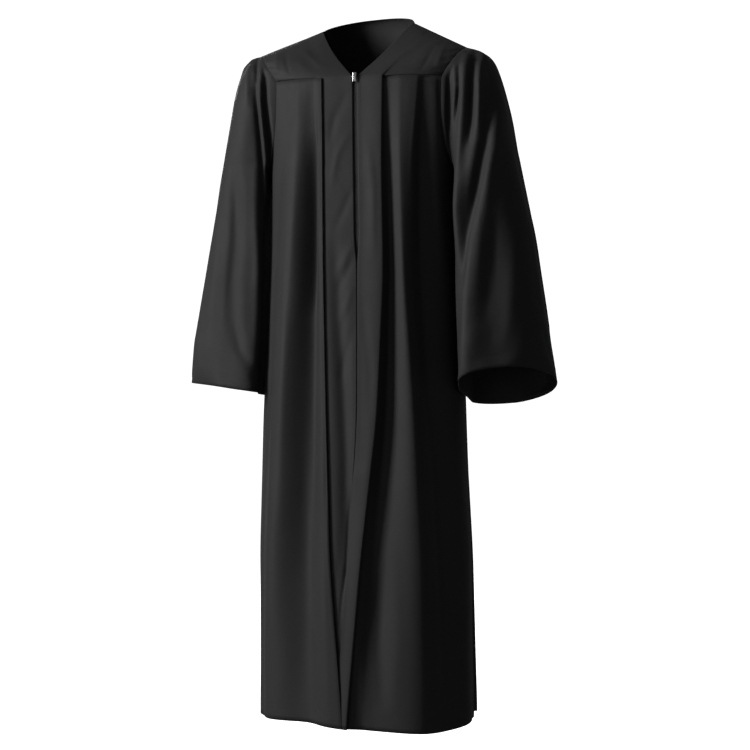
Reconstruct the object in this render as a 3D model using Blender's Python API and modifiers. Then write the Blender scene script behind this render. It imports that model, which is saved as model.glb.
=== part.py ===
"""Graduation gown, worn and hollow: yokes with bands, pleated fronts, a fluted back, bell sleeves and a zip.

The wearer faces -Y and the wearer's left is +X. The origin is level with the neck points, where the shoulders
carry the gown. Sizes are in millimetres until a mesh is made, and MM turns them into metres there.
"""
import math
from collections import namedtuple

import bmesh
import bpy
import numpy as np

MM = 0.001
MERGE_DISTANCE = 0.01 * MM
WALL = 1.5
SEAM_GAP = 0.3
TURN_IN = 0.7
SHOULDER_GAP = 0.55
LAYER_GAP = 0.6

# Body: heights of the main seams and of the hem.
YOKE_SEAM = -104.0
BACK_YOKE_SEAM = -132.0
UNDERARM = -270.0
HEM = -1245.0
ARMHOLE_ROWS = 5
SKIRT_ROWS = 14
ZIP_ROWS = 8
EASE = 45.0
FRONT_MIDDLE = 12.0

Section = namedtuple("Section", "height right_width left_width front_depth back_depth squareness")
SECTIONS = (
    Section(YOKE_SEAM, 180, 180, 105, 97, 3.0),
    Section(-250, 168, 167, 132, 116, 2.7),
    Section(-450, 176, 171, 141, 131, 2.45),
    Section(-700, 188, 179, 146, 140, 2.35),
    Section(-950, 195, 188, 150, 146, 2.3),
    Section(HEM, 194, 192, 156, 152, 2.3),
)
STATIONS = tuple(section.height for section in SECTIONS)

HemPoint = namedtuple("HemPoint", "angle height")
HEM_LINE = (
    HemPoint(-180, -1236),
    HemPoint(-90, -1234),
    HemPoint(-45, -1227),
    HemPoint(-15, -1228),
    HemPoint(0, -1236),
    HemPoint(30, -1240),
    HemPoint(50, -1244),
    HemPoint(90, -1232),
    HemPoint(180, -1236),
)

# Lines that run down the fronts, each with its distance from the centre and its lift off the plain body.
FoldLine = namedtuple("FoldLine", "name place lift")
ZIP_LINE = FoldLine("zip", (1, 9, 14, 15, 2, -16), (0, 0, 0, 0, 0, 0))
RIGHT_EDGE = FoldLine("right pleat edge", (58, 50, 46, 39, 31, 15), (4.4, 6, 6.6, 6.6, 6.6, 6.6))
RIGHT_FOLDS = (
    FoldLine("crease", (67, 62, 61, 58, 54, 42), (4.4, 6, 7, 8, 8, 8)),
    FoldLine("valley", (80, 79, 86, 92, 101, 101), (2, -1, -9, -12, -10, -4)),
    FoldLine("ridge", (106, 108, 117, 131, 138, 133), (1, 4, 8, 9, 9, 9)),
    FoldLine("side valley", (117, 138, 152, 163, 174, 172), (0, 0, -5, -6, -6, -8)),
)
LEFT_EDGE = FoldLine("left band edge", (51, 55, 60, 50, 23, -1), (4.4, 6, 6.6, 6.6, 6.6, 6.6))
LEFT_FOLDS = (
    FoldLine("valley", (59, 66, 71, 65, 45, 26), (-1, -6, -12, -17, -16, -9)),
    FoldLine("ridge", (81, 83, 84, 94, 102, 106), (3, 7, 9, 11, 12, 10)),
    FoldLine("pleat", (108, 101, 98, 115, 139, 146), (4, 7, 7, 8, 10, 8)),
    FoldLine("hollow", (123, 126, 135, 150, 163, 170), (0, -8, -17, -17, -12, -7)),
    FoldLine("side ridge", (141, 147, 155, 169, 181, 186), (0, 1, 4, 7, 8, 7)),
)
RETURN = 8.0
FOLD_NOSE = 2.0
RETURN_LIFT = WALL + LAYER_GAP
COLUMN_STEP = 0.8

# Back flutes, set in below the yoke: their lifts at the stations, and how unevenly they fall.
BACK_FLUTES = 14
BACK_SPREAD = (40, 47, 56, 64, 70, 74)
BACK_LIFT = (3, 5, 7, 8, 9, 10)
BACK_UNEVEN = (1.0, 0.8, 1.25, 0.7, 1.1, 0.9, 1.3, 0.75, 1.05, 0.85, 1.15)
BACK_PLAIN = 0.3

# Neck, shoulders and yokes.
NECK_HALF = 82.0
NECK_BACK = 72.0
NECK_RISE = 27.0
NECK_POINT_RIGHT = -4.0
NECK_POINT_LEFT = 6.0
NECK_BOW = 6.0
NECK_LEAN = 0.8
NECK_SHARE = 0.45
SHOULDER_DROP = -45.0
TIP_RIGHT = 190.0
TIP_LEFT = 184.0
CORNER_RIGHT = 148.0
CORNER_LEFT = 150.0
BACK_CORNER = 145.0
YOKE_ROWS = 6
YOKE_BACK_COLUMNS = 16
YOKE_LIFT_LEFT = 2.0

# Sleeves: a ring for each section, from the armhole to the cuff, given for a sleeve on the +X side.
SleeveRing = namedtuple("SleeveRing", "outer_x outer_y outer_z inner_x inner_y inner_z front back back_drop")
RIGHT_SLEEVE = (
    SleeveRing(190, 0, -45, 172, 0, -270, 84, 84, 0),
    SleeveRing(221, 0, -58, 177, 0, -286, 88, 88, 0),
    SleeveRing(236, 0, -94, 181, 0, -306, 88, 90, 0),
    SleeveRing(246, 0, -160, 185, 0, -336, 84, 90, 0),
    SleeveRing(259, 0, -235, 187, -4, -376, 80, 88, 2),
    SleeveRing(273, 0, -321, 188, -8, -430, 78, 86, 4),
    SleeveRing(290, 0, -420, 189, -10, -500, 80, 86, 6),
    SleeveRing(307, 0, -520, 190, -12, -574, 84, 88, 8),
    SleeveRing(320, 0, -590, 190, -15, -630, 88, 90, 8),
    SleeveRing(329, 0, -640, 190, -18, -660, 90, 92, 8),
)
LEFT_SLEEVE = (
    SleeveRing(184, 0, -45, 172, 0, -270, 84, 84, 0),
    SleeveRing(221, 0, -56, 177, 0, -286, 86, 88, 0),
    SleeveRing(239, 0, -90, 177, -10, -306, 86, 90, 0),
    SleeveRing(254, 0, -150, 171, -34, -336, 82, 90, 2),
    SleeveRing(268, 3, -228, 170, -48, -376, 76, 88, 8),
    SleeveRing(284, 6, -322, 171, -58, -430, 74, 86, 18),
    SleeveRing(303, 9, -420, 173, -66, -500, 72, 84, 32),
    SleeveRing(319, 12, -516, 175, -70, -570, 72, 84, 46),
    SleeveRing(331, 15, -586, 177, -72, -620, 74, 86, 58),
    SleeveRing(339, 18, -636, 179, -73, -650, 76, 88, 64),
)
SLEEVE_ROWS = 13
CAP_BLEND = 4.0
CAP_HALF = 92.0
GATHER_LIFT = 3.4
GATHER_START = 0.7
GATHER_END = 3.4
FOLD_START = 2.0
ROOM_START = 3.0
SLEEVE_GAP = 0.9
UNDERARM_GAP = 2.6
SLEEVE_ROOM = 9.0

# Folds that run down a sleeve: place round the ring in degrees (0 outside, 90 front, 180 inside), and lift.
SleeveFold = namedtuple("SleeveFold", "name cap elbow cuff lift_cap lift_elbow lift_cuff width")
RIGHT_SLEEVE_FOLDS = (
    SleeveFold("front ridge", 60, 95, 120, 2, 6, 7, 24),
    SleeveFold("front hollow", 92, 128, 158, -4, -8, -5, 20),
    SleeveFold("outer hollow", 25, 50, 66, -1, -4, -5, 22),
    SleeveFold("back ridge", 300, 265, 240, 2, 8, 8, 26),
    SleeveFold("back hollow", 330, 305, 290, -1, -7, -7, 22),
)
LEFT_SLEEVE_FOLDS = (
    SleeveFold("front ridge", 45, 100, 156, 4, 9, 6, 20),
    SleeveFold("front hollow", 76, 132, 180, -6, -13, -3, 20),
    SleeveFold("outer hollow", 15, 50, 95, -1, -5, -4, 24),
    SleeveFold("back ridge", 300, 262, 235, 2, 8, 8, 26),
    SleeveFold("back hollow", 330, 302, 285, -1, -7, -7, 22),
)

# Zip: the tapes as far as they show between the bands, the slider at the bottom of the V, and its pull.
ZIP_HALF = 4.0
LAP = 5.0
LAP_LIFT = WALL + 0.9
LAP_ROWS = 2
TAPE_LIFT = -0.3
TAPE_WALL = 1.0
SLIDER_WIDTH = 7.0
SLIDER_THICKNESS = 3.5
SLIDER_LENGTH = 9.0
SLIDER_BEVEL = 0.9
SLIDER_X = 1.6
SLIDER_Y = -109.7
SLIDER_Z = -102.0
ARCH_WIDTH = 1.6
ARCH_LENGTH = 6.4
ARCH_REACH = 3.6
ARCH_HOLE_LENGTH = 3.6
ARCH_HOLE_REACH = 2.4
PULL_WIDTH = 5.6
PULL_THICKNESS = 1.2
PULL_LENGTH = 12.0
PULL_BAR = 1.2
PULL_HOLE_WIDTH = 2.8
PULL_HOLE_LENGTH = 3.8
PULL_BEVEL = 0.3
CUT_THROUGH = 4.0

BLACK_CLOTH = (0.012, 0.012, 0.013, 1.0)
BLACK_TAPE = (0.010, 0.010, 0.010, 1.0)
BRIGHT_METAL = (0.72, 0.72, 0.74, 1.0)
CLOTH_ROUGHNESS = 0.75
TAPE_ROUGHNESS = 0.7
METAL_ROUGHNESS = 0.25


def eased(height, stations, values):
    """Value of a table at a height: straight between its stations, with the corners rounded over EASE."""
    falling = -np.asarray(stations, dtype=float)
    below = np.interp(-np.asarray(height) - EASE, falling, values)
    here = np.interp(-np.asarray(height), falling, values)
    above = np.interp(-np.asarray(height) + EASE, falling, values)
    return 0.25 * below + 0.5 * here + 0.25 * above


def section_at(height):
    """Width to the wearer's right and left, front depth, back depth and squareness of the body at a height."""
    columns = zip(*(section[1:] for section in SECTIONS))
    return [eased(height, STATIONS, column) for column in columns]


def body_point(angle, height, lift=0.0):
    """Point on the body: an oval with squared corners at that height, moved out by lift along its normal.

    The angle is 0 at the centre front, 90 at the wearer's left side and 180 at the centre back.
    """
    right, left, front, back, power = section_at(height)
    sine = np.sin(np.radians(angle))
    cosine = np.cos(np.radians(angle))
    half = np.where(sine >= 0, left, right)
    depth = np.where(cosine >= 0, front, back)
    x = half * np.sign(sine) * np.abs(sine) ** (2 / power)
    y = -depth * np.sign(cosine) * np.abs(cosine) ** (2 / power)
    slope_x = np.sign(x) * np.abs(x / half) ** (power - 1) / half
    slope_y = np.sign(y) * np.abs(y / depth) ** (power - 1) / depth
    size = np.hypot(slope_x, slope_y)
    x = x + lift * slope_x / size
    y = y + lift * slope_y / size
    return np.stack([x, y, np.broadcast_to(height, x.shape)], axis=-1)


def angle_of(x, height):
    """Angle of the front point that lies x from the centre at a height."""
    right, left, _, _, power = section_at(height)
    half = np.where(np.asarray(x) >= 0, left, right)
    return np.sign(x) * np.degrees(np.arcsin(np.minimum(np.abs(x) / half, 1.0) ** (power / 2)))


def hem_height(angle):
    """Height of the hem at an angle."""
    return np.interp(angle, [point.angle for point in HEM_LINE], [point.height for point in HEM_LINE])


def row_turn():
    """Quarter turn of the armhole curve at each armhole row, in radians."""
    return np.linspace(0, math.pi / 2, ARMHOLE_ROWS + 1)


def row_heights(angle, top):
    """Heights of the rows at each angle: down the armhole as a quarter oval, then even steps to the hem."""
    armhole = top + (UNDERARM - top) * np.sin(row_turn())
    steps = np.arange(1, SKIRT_ROWS + 1) / SKIRT_ROWS
    skirt = UNDERARM + (hem_height(angle) - UNDERARM) * steps
    return np.concatenate([armhole, skirt])


def side_angles(corner, side):
    """Angle of a panel's outer edge at each row: the armhole curve, then the side seam at the side angle."""
    armhole = corner + (side - corner) * (1 - np.cos(row_turn()))
    return np.concatenate([armhole, np.full(SKIRT_ROWS, float(side))])


def new_material(name, color, roughness, metallic=0.0):
    """Principled material of one colour."""
    material = bpy.data.materials.new(name)
    material.use_nodes = True
    shader = material.node_tree.nodes["Principled BSDF"]
    shader.inputs["Base Color"].default_value = color
    shader.inputs["Roughness"].default_value = roughness
    shader.inputs["Metallic"].default_value = metallic
    return material


def grid_faces(rows, columns, first=0, closed=False):
    """Four-sided faces of a grid of points; closed joins the last column to the first."""
    across = columns if closed else columns - 1
    faces = []
    for row in range(rows - 1):
        for column in range(across):
            after = (column + 1) % columns
            low = first + row * columns
            high = low + columns
            faces.append((low + column, high + column, high + after, low + after))
    return faces


def add_wall(name, grids, material, closed=False, flip=False, wall=WALL):
    """Cloth wall through one or more grids of points in millimetres that share their meeting points."""
    points = []
    faces = []
    for grid in grids:
        rows, columns, _ = grid.shape
        faces += grid_faces(rows, columns, len(points), closed)
        points += [tuple(point) for point in (grid.reshape(-1, 3) * MM)]
    mesh = bpy.data.meshes.new(name)
    mesh.from_pydata(points, [], faces)
    cage = bmesh.new()
    cage.from_mesh(mesh)
    bmesh.ops.remove_doubles(cage, verts=cage.verts, dist=MERGE_DISTANCE)
    if flip:
        bmesh.ops.reverse_faces(cage, faces=cage.faces)
    cage.to_mesh(mesh)
    cage.free()
    mesh.materials.append(material)
    mesh.shade_smooth()
    piece = bpy.data.objects.new(name, mesh)
    parts.objects.link(piece)
    thickness = piece.modifiers.new("wall", "SOLIDIFY")
    thickness.thickness = wall * MM
    thickness.offset = 0.0
    thickness.use_quality_normals = True
    return piece


def line_place(line, heights, side):
    """Angle of a front line at each height, on the side -1 (wearer's right) or 1."""
    return angle_of(side * eased(heights, STATIONS, line.place), heights)


def line_lift(line, heights):
    """Lift of a line at each height."""
    return eased(heights, STATIONS, line.lift)


def front_rows(side):
    """Heights of the front rows, with the hem taken at the middle of that front."""
    return row_heights(side * FRONT_MIDDLE, YOKE_SEAM)


def columns_to_grid(angles, heights, lifts):
    """Grid of body points from lists of columns, each an array over the rows."""
    angle = np.stack(angles, axis=1)
    lift = np.stack(lifts, axis=1)
    top = heights[:, None] + 0.0 * angle
    reach = (top - UNDERARM) / (heights[-1] - UNDERARM)
    hem_shift = (hem_height(angle) - heights[-1]) * np.clip(reach, 0, 1)
    return body_point(angle, top + hem_shift, lift)


def folded_columns(lines, heights, side, start, corner_angle):
    """Columns from a start over the fold lines to the panel's outer edge, with one more between each two."""
    places = [start[0]]
    lifts = [start[1]]
    outer = side_angles(corner_angle, side * 90.0)
    stops = [(line_place(line, heights, side), line_lift(line, heights)) for line in lines]
    stops.append((outer, np.zeros(len(heights))))
    for place, lift in stops:
        places += [0.5 * (places[-1] + place), place]
        lifts += [0.5 * (lifts[-1] + lift), lift]
    return places, lifts


def keep_order(angles, side):
    """Each column at least COLUMN_STEP inside the next one, so that a panel narrows evenly at the armhole."""
    ordered = [angles[-1]]
    for angle in reversed(angles[:-1]):
        ordered.append(side * np.minimum(side * angle, side * ordered[-1] - COLUMN_STEP))
    return ordered[::-1]


def front_panel_right():
    """Wearer's right front: its folded inner edge lies over the centre band, and turns under by RETURN."""
    heights = front_rows(-1)
    edge = eased(heights, STATIONS, RIGHT_EDGE.place)
    top = line_lift(RIGHT_EDGE, heights)
    nose = [
        (edge + RETURN, 0 * top + RETURN_LIFT),
        (edge + FOLD_NOSE, 0 * top + RETURN_LIFT),
        (edge, 0.5 * (top + RETURN_LIFT)),
        (edge + FOLD_NOSE, top),
    ]
    angles = [angle_of(-place, heights) for place, _ in nose]
    lifts = [lift for _, lift in nose]
    corner = float(angle_of(-CORNER_RIGHT, YOKE_SEAM))
    more_angles, more_lifts = folded_columns(RIGHT_FOLDS, heights, -1, (angles[-1], lifts[-1]), corner)
    angles += keep_order(more_angles, -1)[1:]
    lifts += more_lifts[1:]
    grid = columns_to_grid(angles, heights, lifts)
    grid[0, :, 2] -= TURN_IN
    grid[ARMHOLE_ROWS:, -1, 1] = np.minimum(grid[ARMHOLE_ROWS:, -1, 1], -SEAM_GAP / 2)
    return grid


def front_panel_left():
    """Wearer's left front: its inner edge lies under the fold of the centre band."""
    heights = front_rows(1)
    edge = eased(heights, STATIONS, LEFT_EDGE.place)
    angles = [angle_of(edge - RETURN, heights), angle_of(edge, heights)]
    lifts = [0 * edge, 0 * edge]
    corner = float(angle_of(CORNER_LEFT, YOKE_SEAM))
    more_angles, more_lifts = folded_columns(LEFT_FOLDS, heights, 1, (angles[-1], lifts[-1]), corner)
    angles += keep_order(more_angles, 1)[1:]
    lifts += more_lifts[1:]
    grid = columns_to_grid(angles, heights, lifts)
    grid[0, :, 2] -= TURN_IN
    grid[ARMHOLE_ROWS:, -1, 1] = np.minimum(grid[ARMHOLE_ROWS:, -1, 1], -SEAM_GAP / 2)
    return grid


def back_panel():
    """Back: flutes that fan out below the yoke, each ridge and valley a column, then plain cloth at the sides."""
    left = side_angles(180.0 - float(angle_of(BACK_CORNER, BACK_YOKE_SEAM)), 90.0)
    heights = row_heights(180.0, BACK_YOKE_SEAM)
    size = eased(heights, STATIONS, BACK_LIFT)
    spread = eased(heights, STATIONS, BACK_SPREAD)
    share = np.linspace(-1, 1, 2 * BACK_FLUTES + 1)
    angles = [180.0 + spread * part for part in share]
    lifts = []
    for column in range(len(share)):
        uneven = BACK_UNEVEN[column % len(BACK_UNEVEN)]
        lifts.append(size * uneven * (1.0 if column % 2 else -1.0))
    angles = [left, 0.5 * (left + angles[0])] + angles + [360.0 - 0.5 * (left + angles[0]), 360.0 - left]
    plain = BACK_PLAIN * size
    lifts = [0 * size, plain] + lifts + [plain, 0 * size]
    centre = len(angles) // 2
    angles = keep_order(angles[centre::-1], -1)[::-1] + keep_order(angles[centre:], 1)[1:]
    lifts = [lift * (np.arange(len(heights)) > 0) for lift in lifts]
    wrapped = [np.where(angle > 180.0, angle - 360.0, angle) for angle in angles]
    grid = columns_to_grid(wrapped, heights, lifts)
    grid[0, :, 2] -= TURN_IN
    for column in (0, -1):
        grid[ARMHOLE_ROWS:, column, 1] = np.maximum(grid[ARMHOLE_ROWS:, column, 1], SEAM_GAP / 2)
    return grid


def zip_parting(heights, above, below):
    """Distance of a band's inner edge from the zip line: one value down the zip, and another below its end."""
    rows = np.arange(len(heights)) - (ARMHOLE_ROWS + ZIP_ROWS)
    return above + (below - above) * np.clip(rows, 0, 1)


def right_band_columns():
    """Places and lifts of the right band, from its hidden edge under the pleat to the zip."""
    heights = front_rows(-1)
    edge = eased(heights, STATIONS, RIGHT_EDGE.place)
    inner = -eased(heights, STATIONS, ZIP_LINE.place) - zip_parting(heights, -ZIP_HALF, LAP)
    places = [edge + RETURN, edge, 0.5 * (edge + inner), inner]
    return heights, [-place for place in places], [0 * edge for _ in places]


def left_band_columns():
    """Places and lifts of the left band, from the zip over its folded edge to the end of its turned part."""
    heights = front_rows(1)
    edge = eased(heights, STATIONS, LEFT_EDGE.place)
    top = line_lift(LEFT_EDGE, heights)
    inner = eased(heights, STATIONS, ZIP_LINE.place) + zip_parting(heights, ZIP_HALF, 0.0)
    rows = np.arange(len(heights)) - (ARMHOLE_ROWS + ZIP_ROWS)
    lap = LAP_LIFT * np.clip((rows + LAP_ROWS) / LAP_ROWS, 0, 1)
    under = RETURN_LIFT + 0 * top
    fold = edge - FOLD_NOSE
    places = [inner, 0.5 * (inner + fold), fold, edge, fold, edge - RETURN]
    lifts = [lap, 0.5 * (lap + top), top, 0.5 * (top + under), under, under]
    return heights, places, lifts


def yoke_front(side, bottoms, bottom_lifts, corner, tip):
    """Front yoke: rows roll from the shoulder seam over the chest, and columns fan from neck to armhole."""
    turn = np.linspace(0, math.pi / 2, YOKE_ROWS + 1)[:, None]
    bottoms = np.asarray(bottoms, dtype=float)[None, :]
    bottom_lifts = np.asarray(bottom_lifts, dtype=float)[None, :]
    across = (np.abs(bottoms) - ZIP_HALF) / (corner - ZIP_HALF)
    across = np.clip(across, 0, 1)
    shoulder = NECK_HALF + (tip - NECK_HALF) * across
    drop = 1 - np.cos(turn)
    bow = NECK_BOW * np.sin(math.pi * drop) * (1 - across)
    x = np.abs(bottoms) * drop + shoulder * (1 - drop) + bow
    lean = NECK_LEAN * (1 - across)
    seam = body_point(angle_of(np.abs(bottoms), YOKE_SEAM), YOKE_SEAM, bottom_lifts)
    forward = (1 - lean) * np.sin(turn) + lean * drop
    y = seam[..., 1] * forward - SHOULDER_GAP * (1 - drop)
    neck_point = NECK_POINT_LEFT if side > 0 else NECK_POINT_RIGHT
    top = neck_point + (SHOULDER_DROP - neck_point) * across
    z = top + (YOKE_SEAM - top) * drop
    return np.stack([side * x, y, z], axis=-1)


def yoke_and_band(side, columns, yoke_from, yoke_only, corner, tip, under=0):
    """The L-shaped front piece: the yoke's grid and the band's grid, which share the band's top points.

    The band's columns are given from the zip outwards; the last `under` of them lie below the yoke's edge only.
    """
    heights, places, lifts = columns
    shared = len(places) - under
    band = columns_to_grid([angle_of(place, heights) for place in places], heights, lifts)
    bottoms = [abs(place[0]) for place in places[:shared]] + list(yoke_only)
    ease_out = 1 - np.arange(1, len(yoke_only) + 1) / len(yoke_only)
    bottom_lifts = [lift[0] for lift in lifts[:shared]] + list(yoke_from * ease_out)
    yoke = yoke_front(side, bottoms, bottom_lifts, corner, tip)
    yoke[-1, :shared] = band[0, :shared]
    return [yoke, band]


def yoke_back():
    """Back yoke: its top edge runs along both shoulder seams and round the back of the neck."""
    turn = np.linspace(0, math.pi / 2, YOKE_ROWS + 1)[:, None]
    across = np.linspace(-1, 1, YOKE_BACK_COLUMNS + 1)[None, :]
    neck = np.clip(np.abs(across) / NECK_SHARE, 0, 1)
    shoulder = np.clip((np.abs(across) - NECK_SHARE) / (1 - NECK_SHARE), 0, 1)
    tip = np.where(across < 0, TIP_RIGHT, TIP_LEFT)
    top_x = NECK_HALF * np.sin(neck * math.pi / 2) + (tip - NECK_HALF) * shoulder
    top_y = NECK_BACK * np.cos(neck * math.pi / 2) + SHOULDER_GAP
    neck_point = np.where(across < 0, NECK_POINT_RIGHT, NECK_POINT_LEFT)
    neck_point = neck_point * np.sin(neck * math.pi / 2)
    top_z = neck_point + NECK_RISE * np.cos(neck * math.pi / 2) + (SHOULDER_DROP - neck_point) * shoulder
    low_x = BACK_CORNER * np.abs(across)
    seam = body_point(180.0 - angle_of(low_x, BACK_YOKE_SEAM), BACK_YOKE_SEAM)
    drop = 1 - np.cos(turn)
    x = np.sign(across) * (low_x * drop + top_x * (1 - drop))
    y = top_y + (seam[..., 1] - top_y) * np.sin(turn)
    z = top_z + (BACK_YOKE_SEAM - top_z) * drop
    return np.stack([x, y, z], axis=-1)


def armhole_loop(front_yoke, front, back_edge, back_yoke_edge):
    """Armhole as one loop from the shoulder tip down the front and up the back, with its ring angles."""
    front_half = np.concatenate([front_yoke, front[1:]])
    back_half = np.concatenate([back_yoke_edge, back_edge[1:]])
    loops = []
    for half, yoke_points in ((front_half, len(front_yoke)), (back_half, len(back_yoke_edge))):
        fine = [half[0]]
        for step in range(1, len(half)):
            if step < yoke_points:
                fine.append(0.5 * (half[step - 1] + half[step]))
            fine.append(half[step])
        fine = np.array(fine)
        length = np.concatenate([[0], np.cumsum(np.linalg.norm(np.diff(fine, axis=0), axis=1))])
        loops.append((fine, 180.0 * length / length[-1]))
    (front_points, front_angles), (back_points, back_angles) = loops
    points = np.concatenate([front_points, back_points[-2:0:-1]])
    angles = np.concatenate([front_angles, 360.0 - back_angles[-2:0:-1]])
    return points, angles


def sleeve(side, rings, folds, loop, loop_angles):
    """Bell sleeve: rings turn from the armhole to the cuff, gathered at the cap, with long folds down them."""
    table = np.array([tuple(ring) for ring in rings], dtype=float)
    place = np.linspace(0, len(rings) - 1, SLEEVE_ROWS + 1)
    row = np.stack([np.interp(place, np.arange(len(rings)), column) for column in table.T], axis=1)[:, None, :]
    outer = row[..., 0:3]
    inner = row[..., 3:6]
    front = row[..., 6]
    back = row[..., 7]
    drop = row[..., 8]
    turn = np.radians(loop_angles)[None, :]
    reach = 0.5 * (outer - inner)
    along = reach / np.linalg.norm(reach, axis=-1, keepdims=True)
    ring = 0.5 * (outer + inner) + reach * np.cos(turn)[..., None]
    depth = np.where(np.sin(turn) >= 0, front, back)
    ring[..., 1] -= depth * np.sin(turn)
    ring[..., 2] += 0.5 * drop * np.sin(turn)

    down = place[:, None] / (len(rings) - 1)
    lift = 0.0 * (down + turn)
    for fold in folds:
        centre = np.interp(down, (0, 0.5, 1), (fold.cap, fold.elbow, fold.cuff))
        size = np.interp(down, (0, 0.5, 1), (fold.lift_cap, fold.lift_elbow, fold.lift_cuff))
        away = (np.degrees(turn) - centre + 180.0) % 360.0 - 180.0
        lift = lift + size * np.exp(-(away / fold.width) ** 2)
    lift = lift * np.clip(place[:, None] / FOLD_START, 0, 1)
    on_cap = np.abs((np.degrees(turn) + 180.0) % 360.0 - 180.0) < CAP_HALF
    wave = np.where(np.arange(len(loop_angles)) % 2 == 1, 1.0, -1.0)[None, :] * on_cap
    fade = np.clip(place[:, None] / GATHER_START, 0, 1) * np.clip(1 - place[:, None] / GATHER_END, 0, 1)
    lift = lift + GATHER_LIFT * wave * fade
    ring += lift[..., None] * along * np.cos(turn)[..., None]
    ring[..., 1] -= lift * np.sin(turn)

    held = loop * np.array([side, 1, 1])
    gap = SLEEVE_GAP + (UNDERARM_GAP - SLEEVE_GAP) * np.clip(-np.cos(turn[0]), 0, 1) ** 2
    held[:, 0] += gap
    blend = np.clip(1 - place / CAP_BLEND, 0, 1)[:, None, None] ** 2
    grid = ring + (held[None] - ring[0:1]) * blend
    grid = keep_off_body(grid, place, side)
    return grid * np.array([side, 1, 1])


def keep_off_body(grid, place, side):
    """Sleeve points that come too near the body's side are moved out, more so further down."""
    right, left, front, back, power = section_at(np.minimum(grid[..., 2], UNDERARM))
    half = left if side > 0 else right
    depth = np.where(grid[..., 1] < 0, front, back)
    level = (np.abs(grid[..., 0]) / half) ** power + (np.abs(grid[..., 1]) / depth) ** power
    level = level ** (1 / power)
    room = np.clip(place[:, None] / ROOM_START, 0, 1) * SLEEVE_ROOM + UNDERARM_GAP
    wanted = 1 + room / half
    near = (grid[..., 2] < UNDERARM + WALL) & (level < wanted)
    shift = np.where(near, (wanted - level) * half, 0.0)
    moved = grid.copy()
    moved[..., 0] += shift
    return moved


def zip_tape(side):
    """One zip tape as far as it shows, from the band's edge to the middle of the zip."""
    rows = ARMHOLE_ROWS + ZIP_ROWS + 1
    heights = front_rows(side)[:rows]
    middle = eased(heights, STATIONS, ZIP_LINE.place)
    near = middle + side * SEAM_GAP / 2
    far = middle + side * (ZIP_HALF - SEAM_GAP)
    places = (near, far) if side > 0 else (far, near)
    lift = TAPE_LIFT + 0 * middle
    grid = body_point(angle_of(np.stack(places, axis=1), heights[:, None]), heights[:, None], lift[:, None])
    return grid


def add_box(name, size, centre, collection, bevel=0.0):
    """Box of a size in millimetres, with its own scale applied, and rounded edges if a bevel is given."""
    bpy.ops.mesh.primitive_cube_add(size=1, location=[value * MM for value in centre])
    box = bpy.context.object
    box.name = name
    box.data.name = name
    box.data.transform([[size[0] * MM, 0, 0, 0], [0, size[1] * MM, 0, 0], [0, 0, size[2] * MM, 0], [0, 0, 0, 1]])
    for owner in list(box.users_collection):
        owner.objects.unlink(box)
    collection.objects.link(box)
    if bevel:
        rounding = box.modifiers.new("rounded edges", "BEVEL")
        rounding.width = bevel * MM
        rounding.segments = 2
    return box


def add_cut(piece, cutter, operation="DIFFERENCE"):
    """Boolean on a piece, with its cutter hidden."""
    cutter.display_type = "WIRE"
    cutter.hide_render = True
    cut = piece.modifiers.new(cutter.name, "BOOLEAN")
    cut.operation = operation
    cut.object = cutter
    cut.solver = "EXACT"


def make_slider(material):
    """Slider body with an arch on its front, under which the pull's bar lies."""
    front = SLIDER_Y - SLIDER_THICKNESS / 2
    slider = add_box("zip_slider", (SLIDER_WIDTH, SLIDER_THICKNESS, SLIDER_LENGTH),
                     (SLIDER_X, SLIDER_Y, SLIDER_Z), parts, SLIDER_BEVEL)
    arch = add_box("arch", (ARCH_WIDTH, ARCH_REACH * 2, ARCH_LENGTH), (SLIDER_X, front, SLIDER_Z), cutters)
    add_cut(slider, arch, "UNION")
    hole = add_box("arch_hole", (ARCH_WIDTH * CUT_THROUGH, ARCH_HOLE_REACH, ARCH_HOLE_LENGTH),
                   (SLIDER_X, front - ARCH_HOLE_REACH / 2, SLIDER_Z), cutters)
    add_cut(slider, hole)
    slider.data.materials.append(material)


def make_pull(material):
    """Pull tab: a plate with a window at its top, whose top bar is the hinge under the slider's arch."""
    bpy.ops.object.empty_add(location=(SLIDER_X * MM, HINGE_Y * MM, SLIDER_Z * MM))
    axis = bpy.context.object
    axis.name = "pull_axis"
    centre_z = PULL_BAR / 2 - PULL_LENGTH / 2
    pull = add_box("pull_tab", (PULL_WIDTH, PULL_THICKNESS, PULL_LENGTH), (0, 0, 0), parts, PULL_BEVEL)
    pull.parent = axis
    pull.location = (0, 0, centre_z * MM)
    hole = (PULL_HOLE_WIDTH, PULL_THICKNESS * CUT_THROUGH, PULL_HOLE_LENGTH)
    window = add_box("pull_window", hole, (0, 0, 0), cutters)
    window.parent = axis
    window.location = (0, 0, -(PULL_BAR + PULL_HOLE_LENGTH) / 2 * MM)
    add_cut(pull, window)
    pull.data.materials.append(material)


HINGE_Y = SLIDER_Y - SLIDER_THICKNESS / 2 - ARCH_HOLE_REACH / 2

for old in list(bpy.data.objects):
    bpy.data.objects.remove(old, do_unlink=True)
parts = bpy.data.collections.new("graduation_gown")
cutters = bpy.data.collections.new("cutters")
bpy.context.scene.collection.children.link(parts)
bpy.context.scene.collection.children.link(cutters)

cloth_names = ("yoke_front_right", "yoke_front_left", "yoke_back", "front_panel_right", "front_panel_left",
               "back_panel", "sleeve_right", "sleeve_left")
cloth = {name: new_material(name + "_cloth", BLACK_CLOTH, CLOTH_ROUGHNESS) for name in cloth_names}

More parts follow.
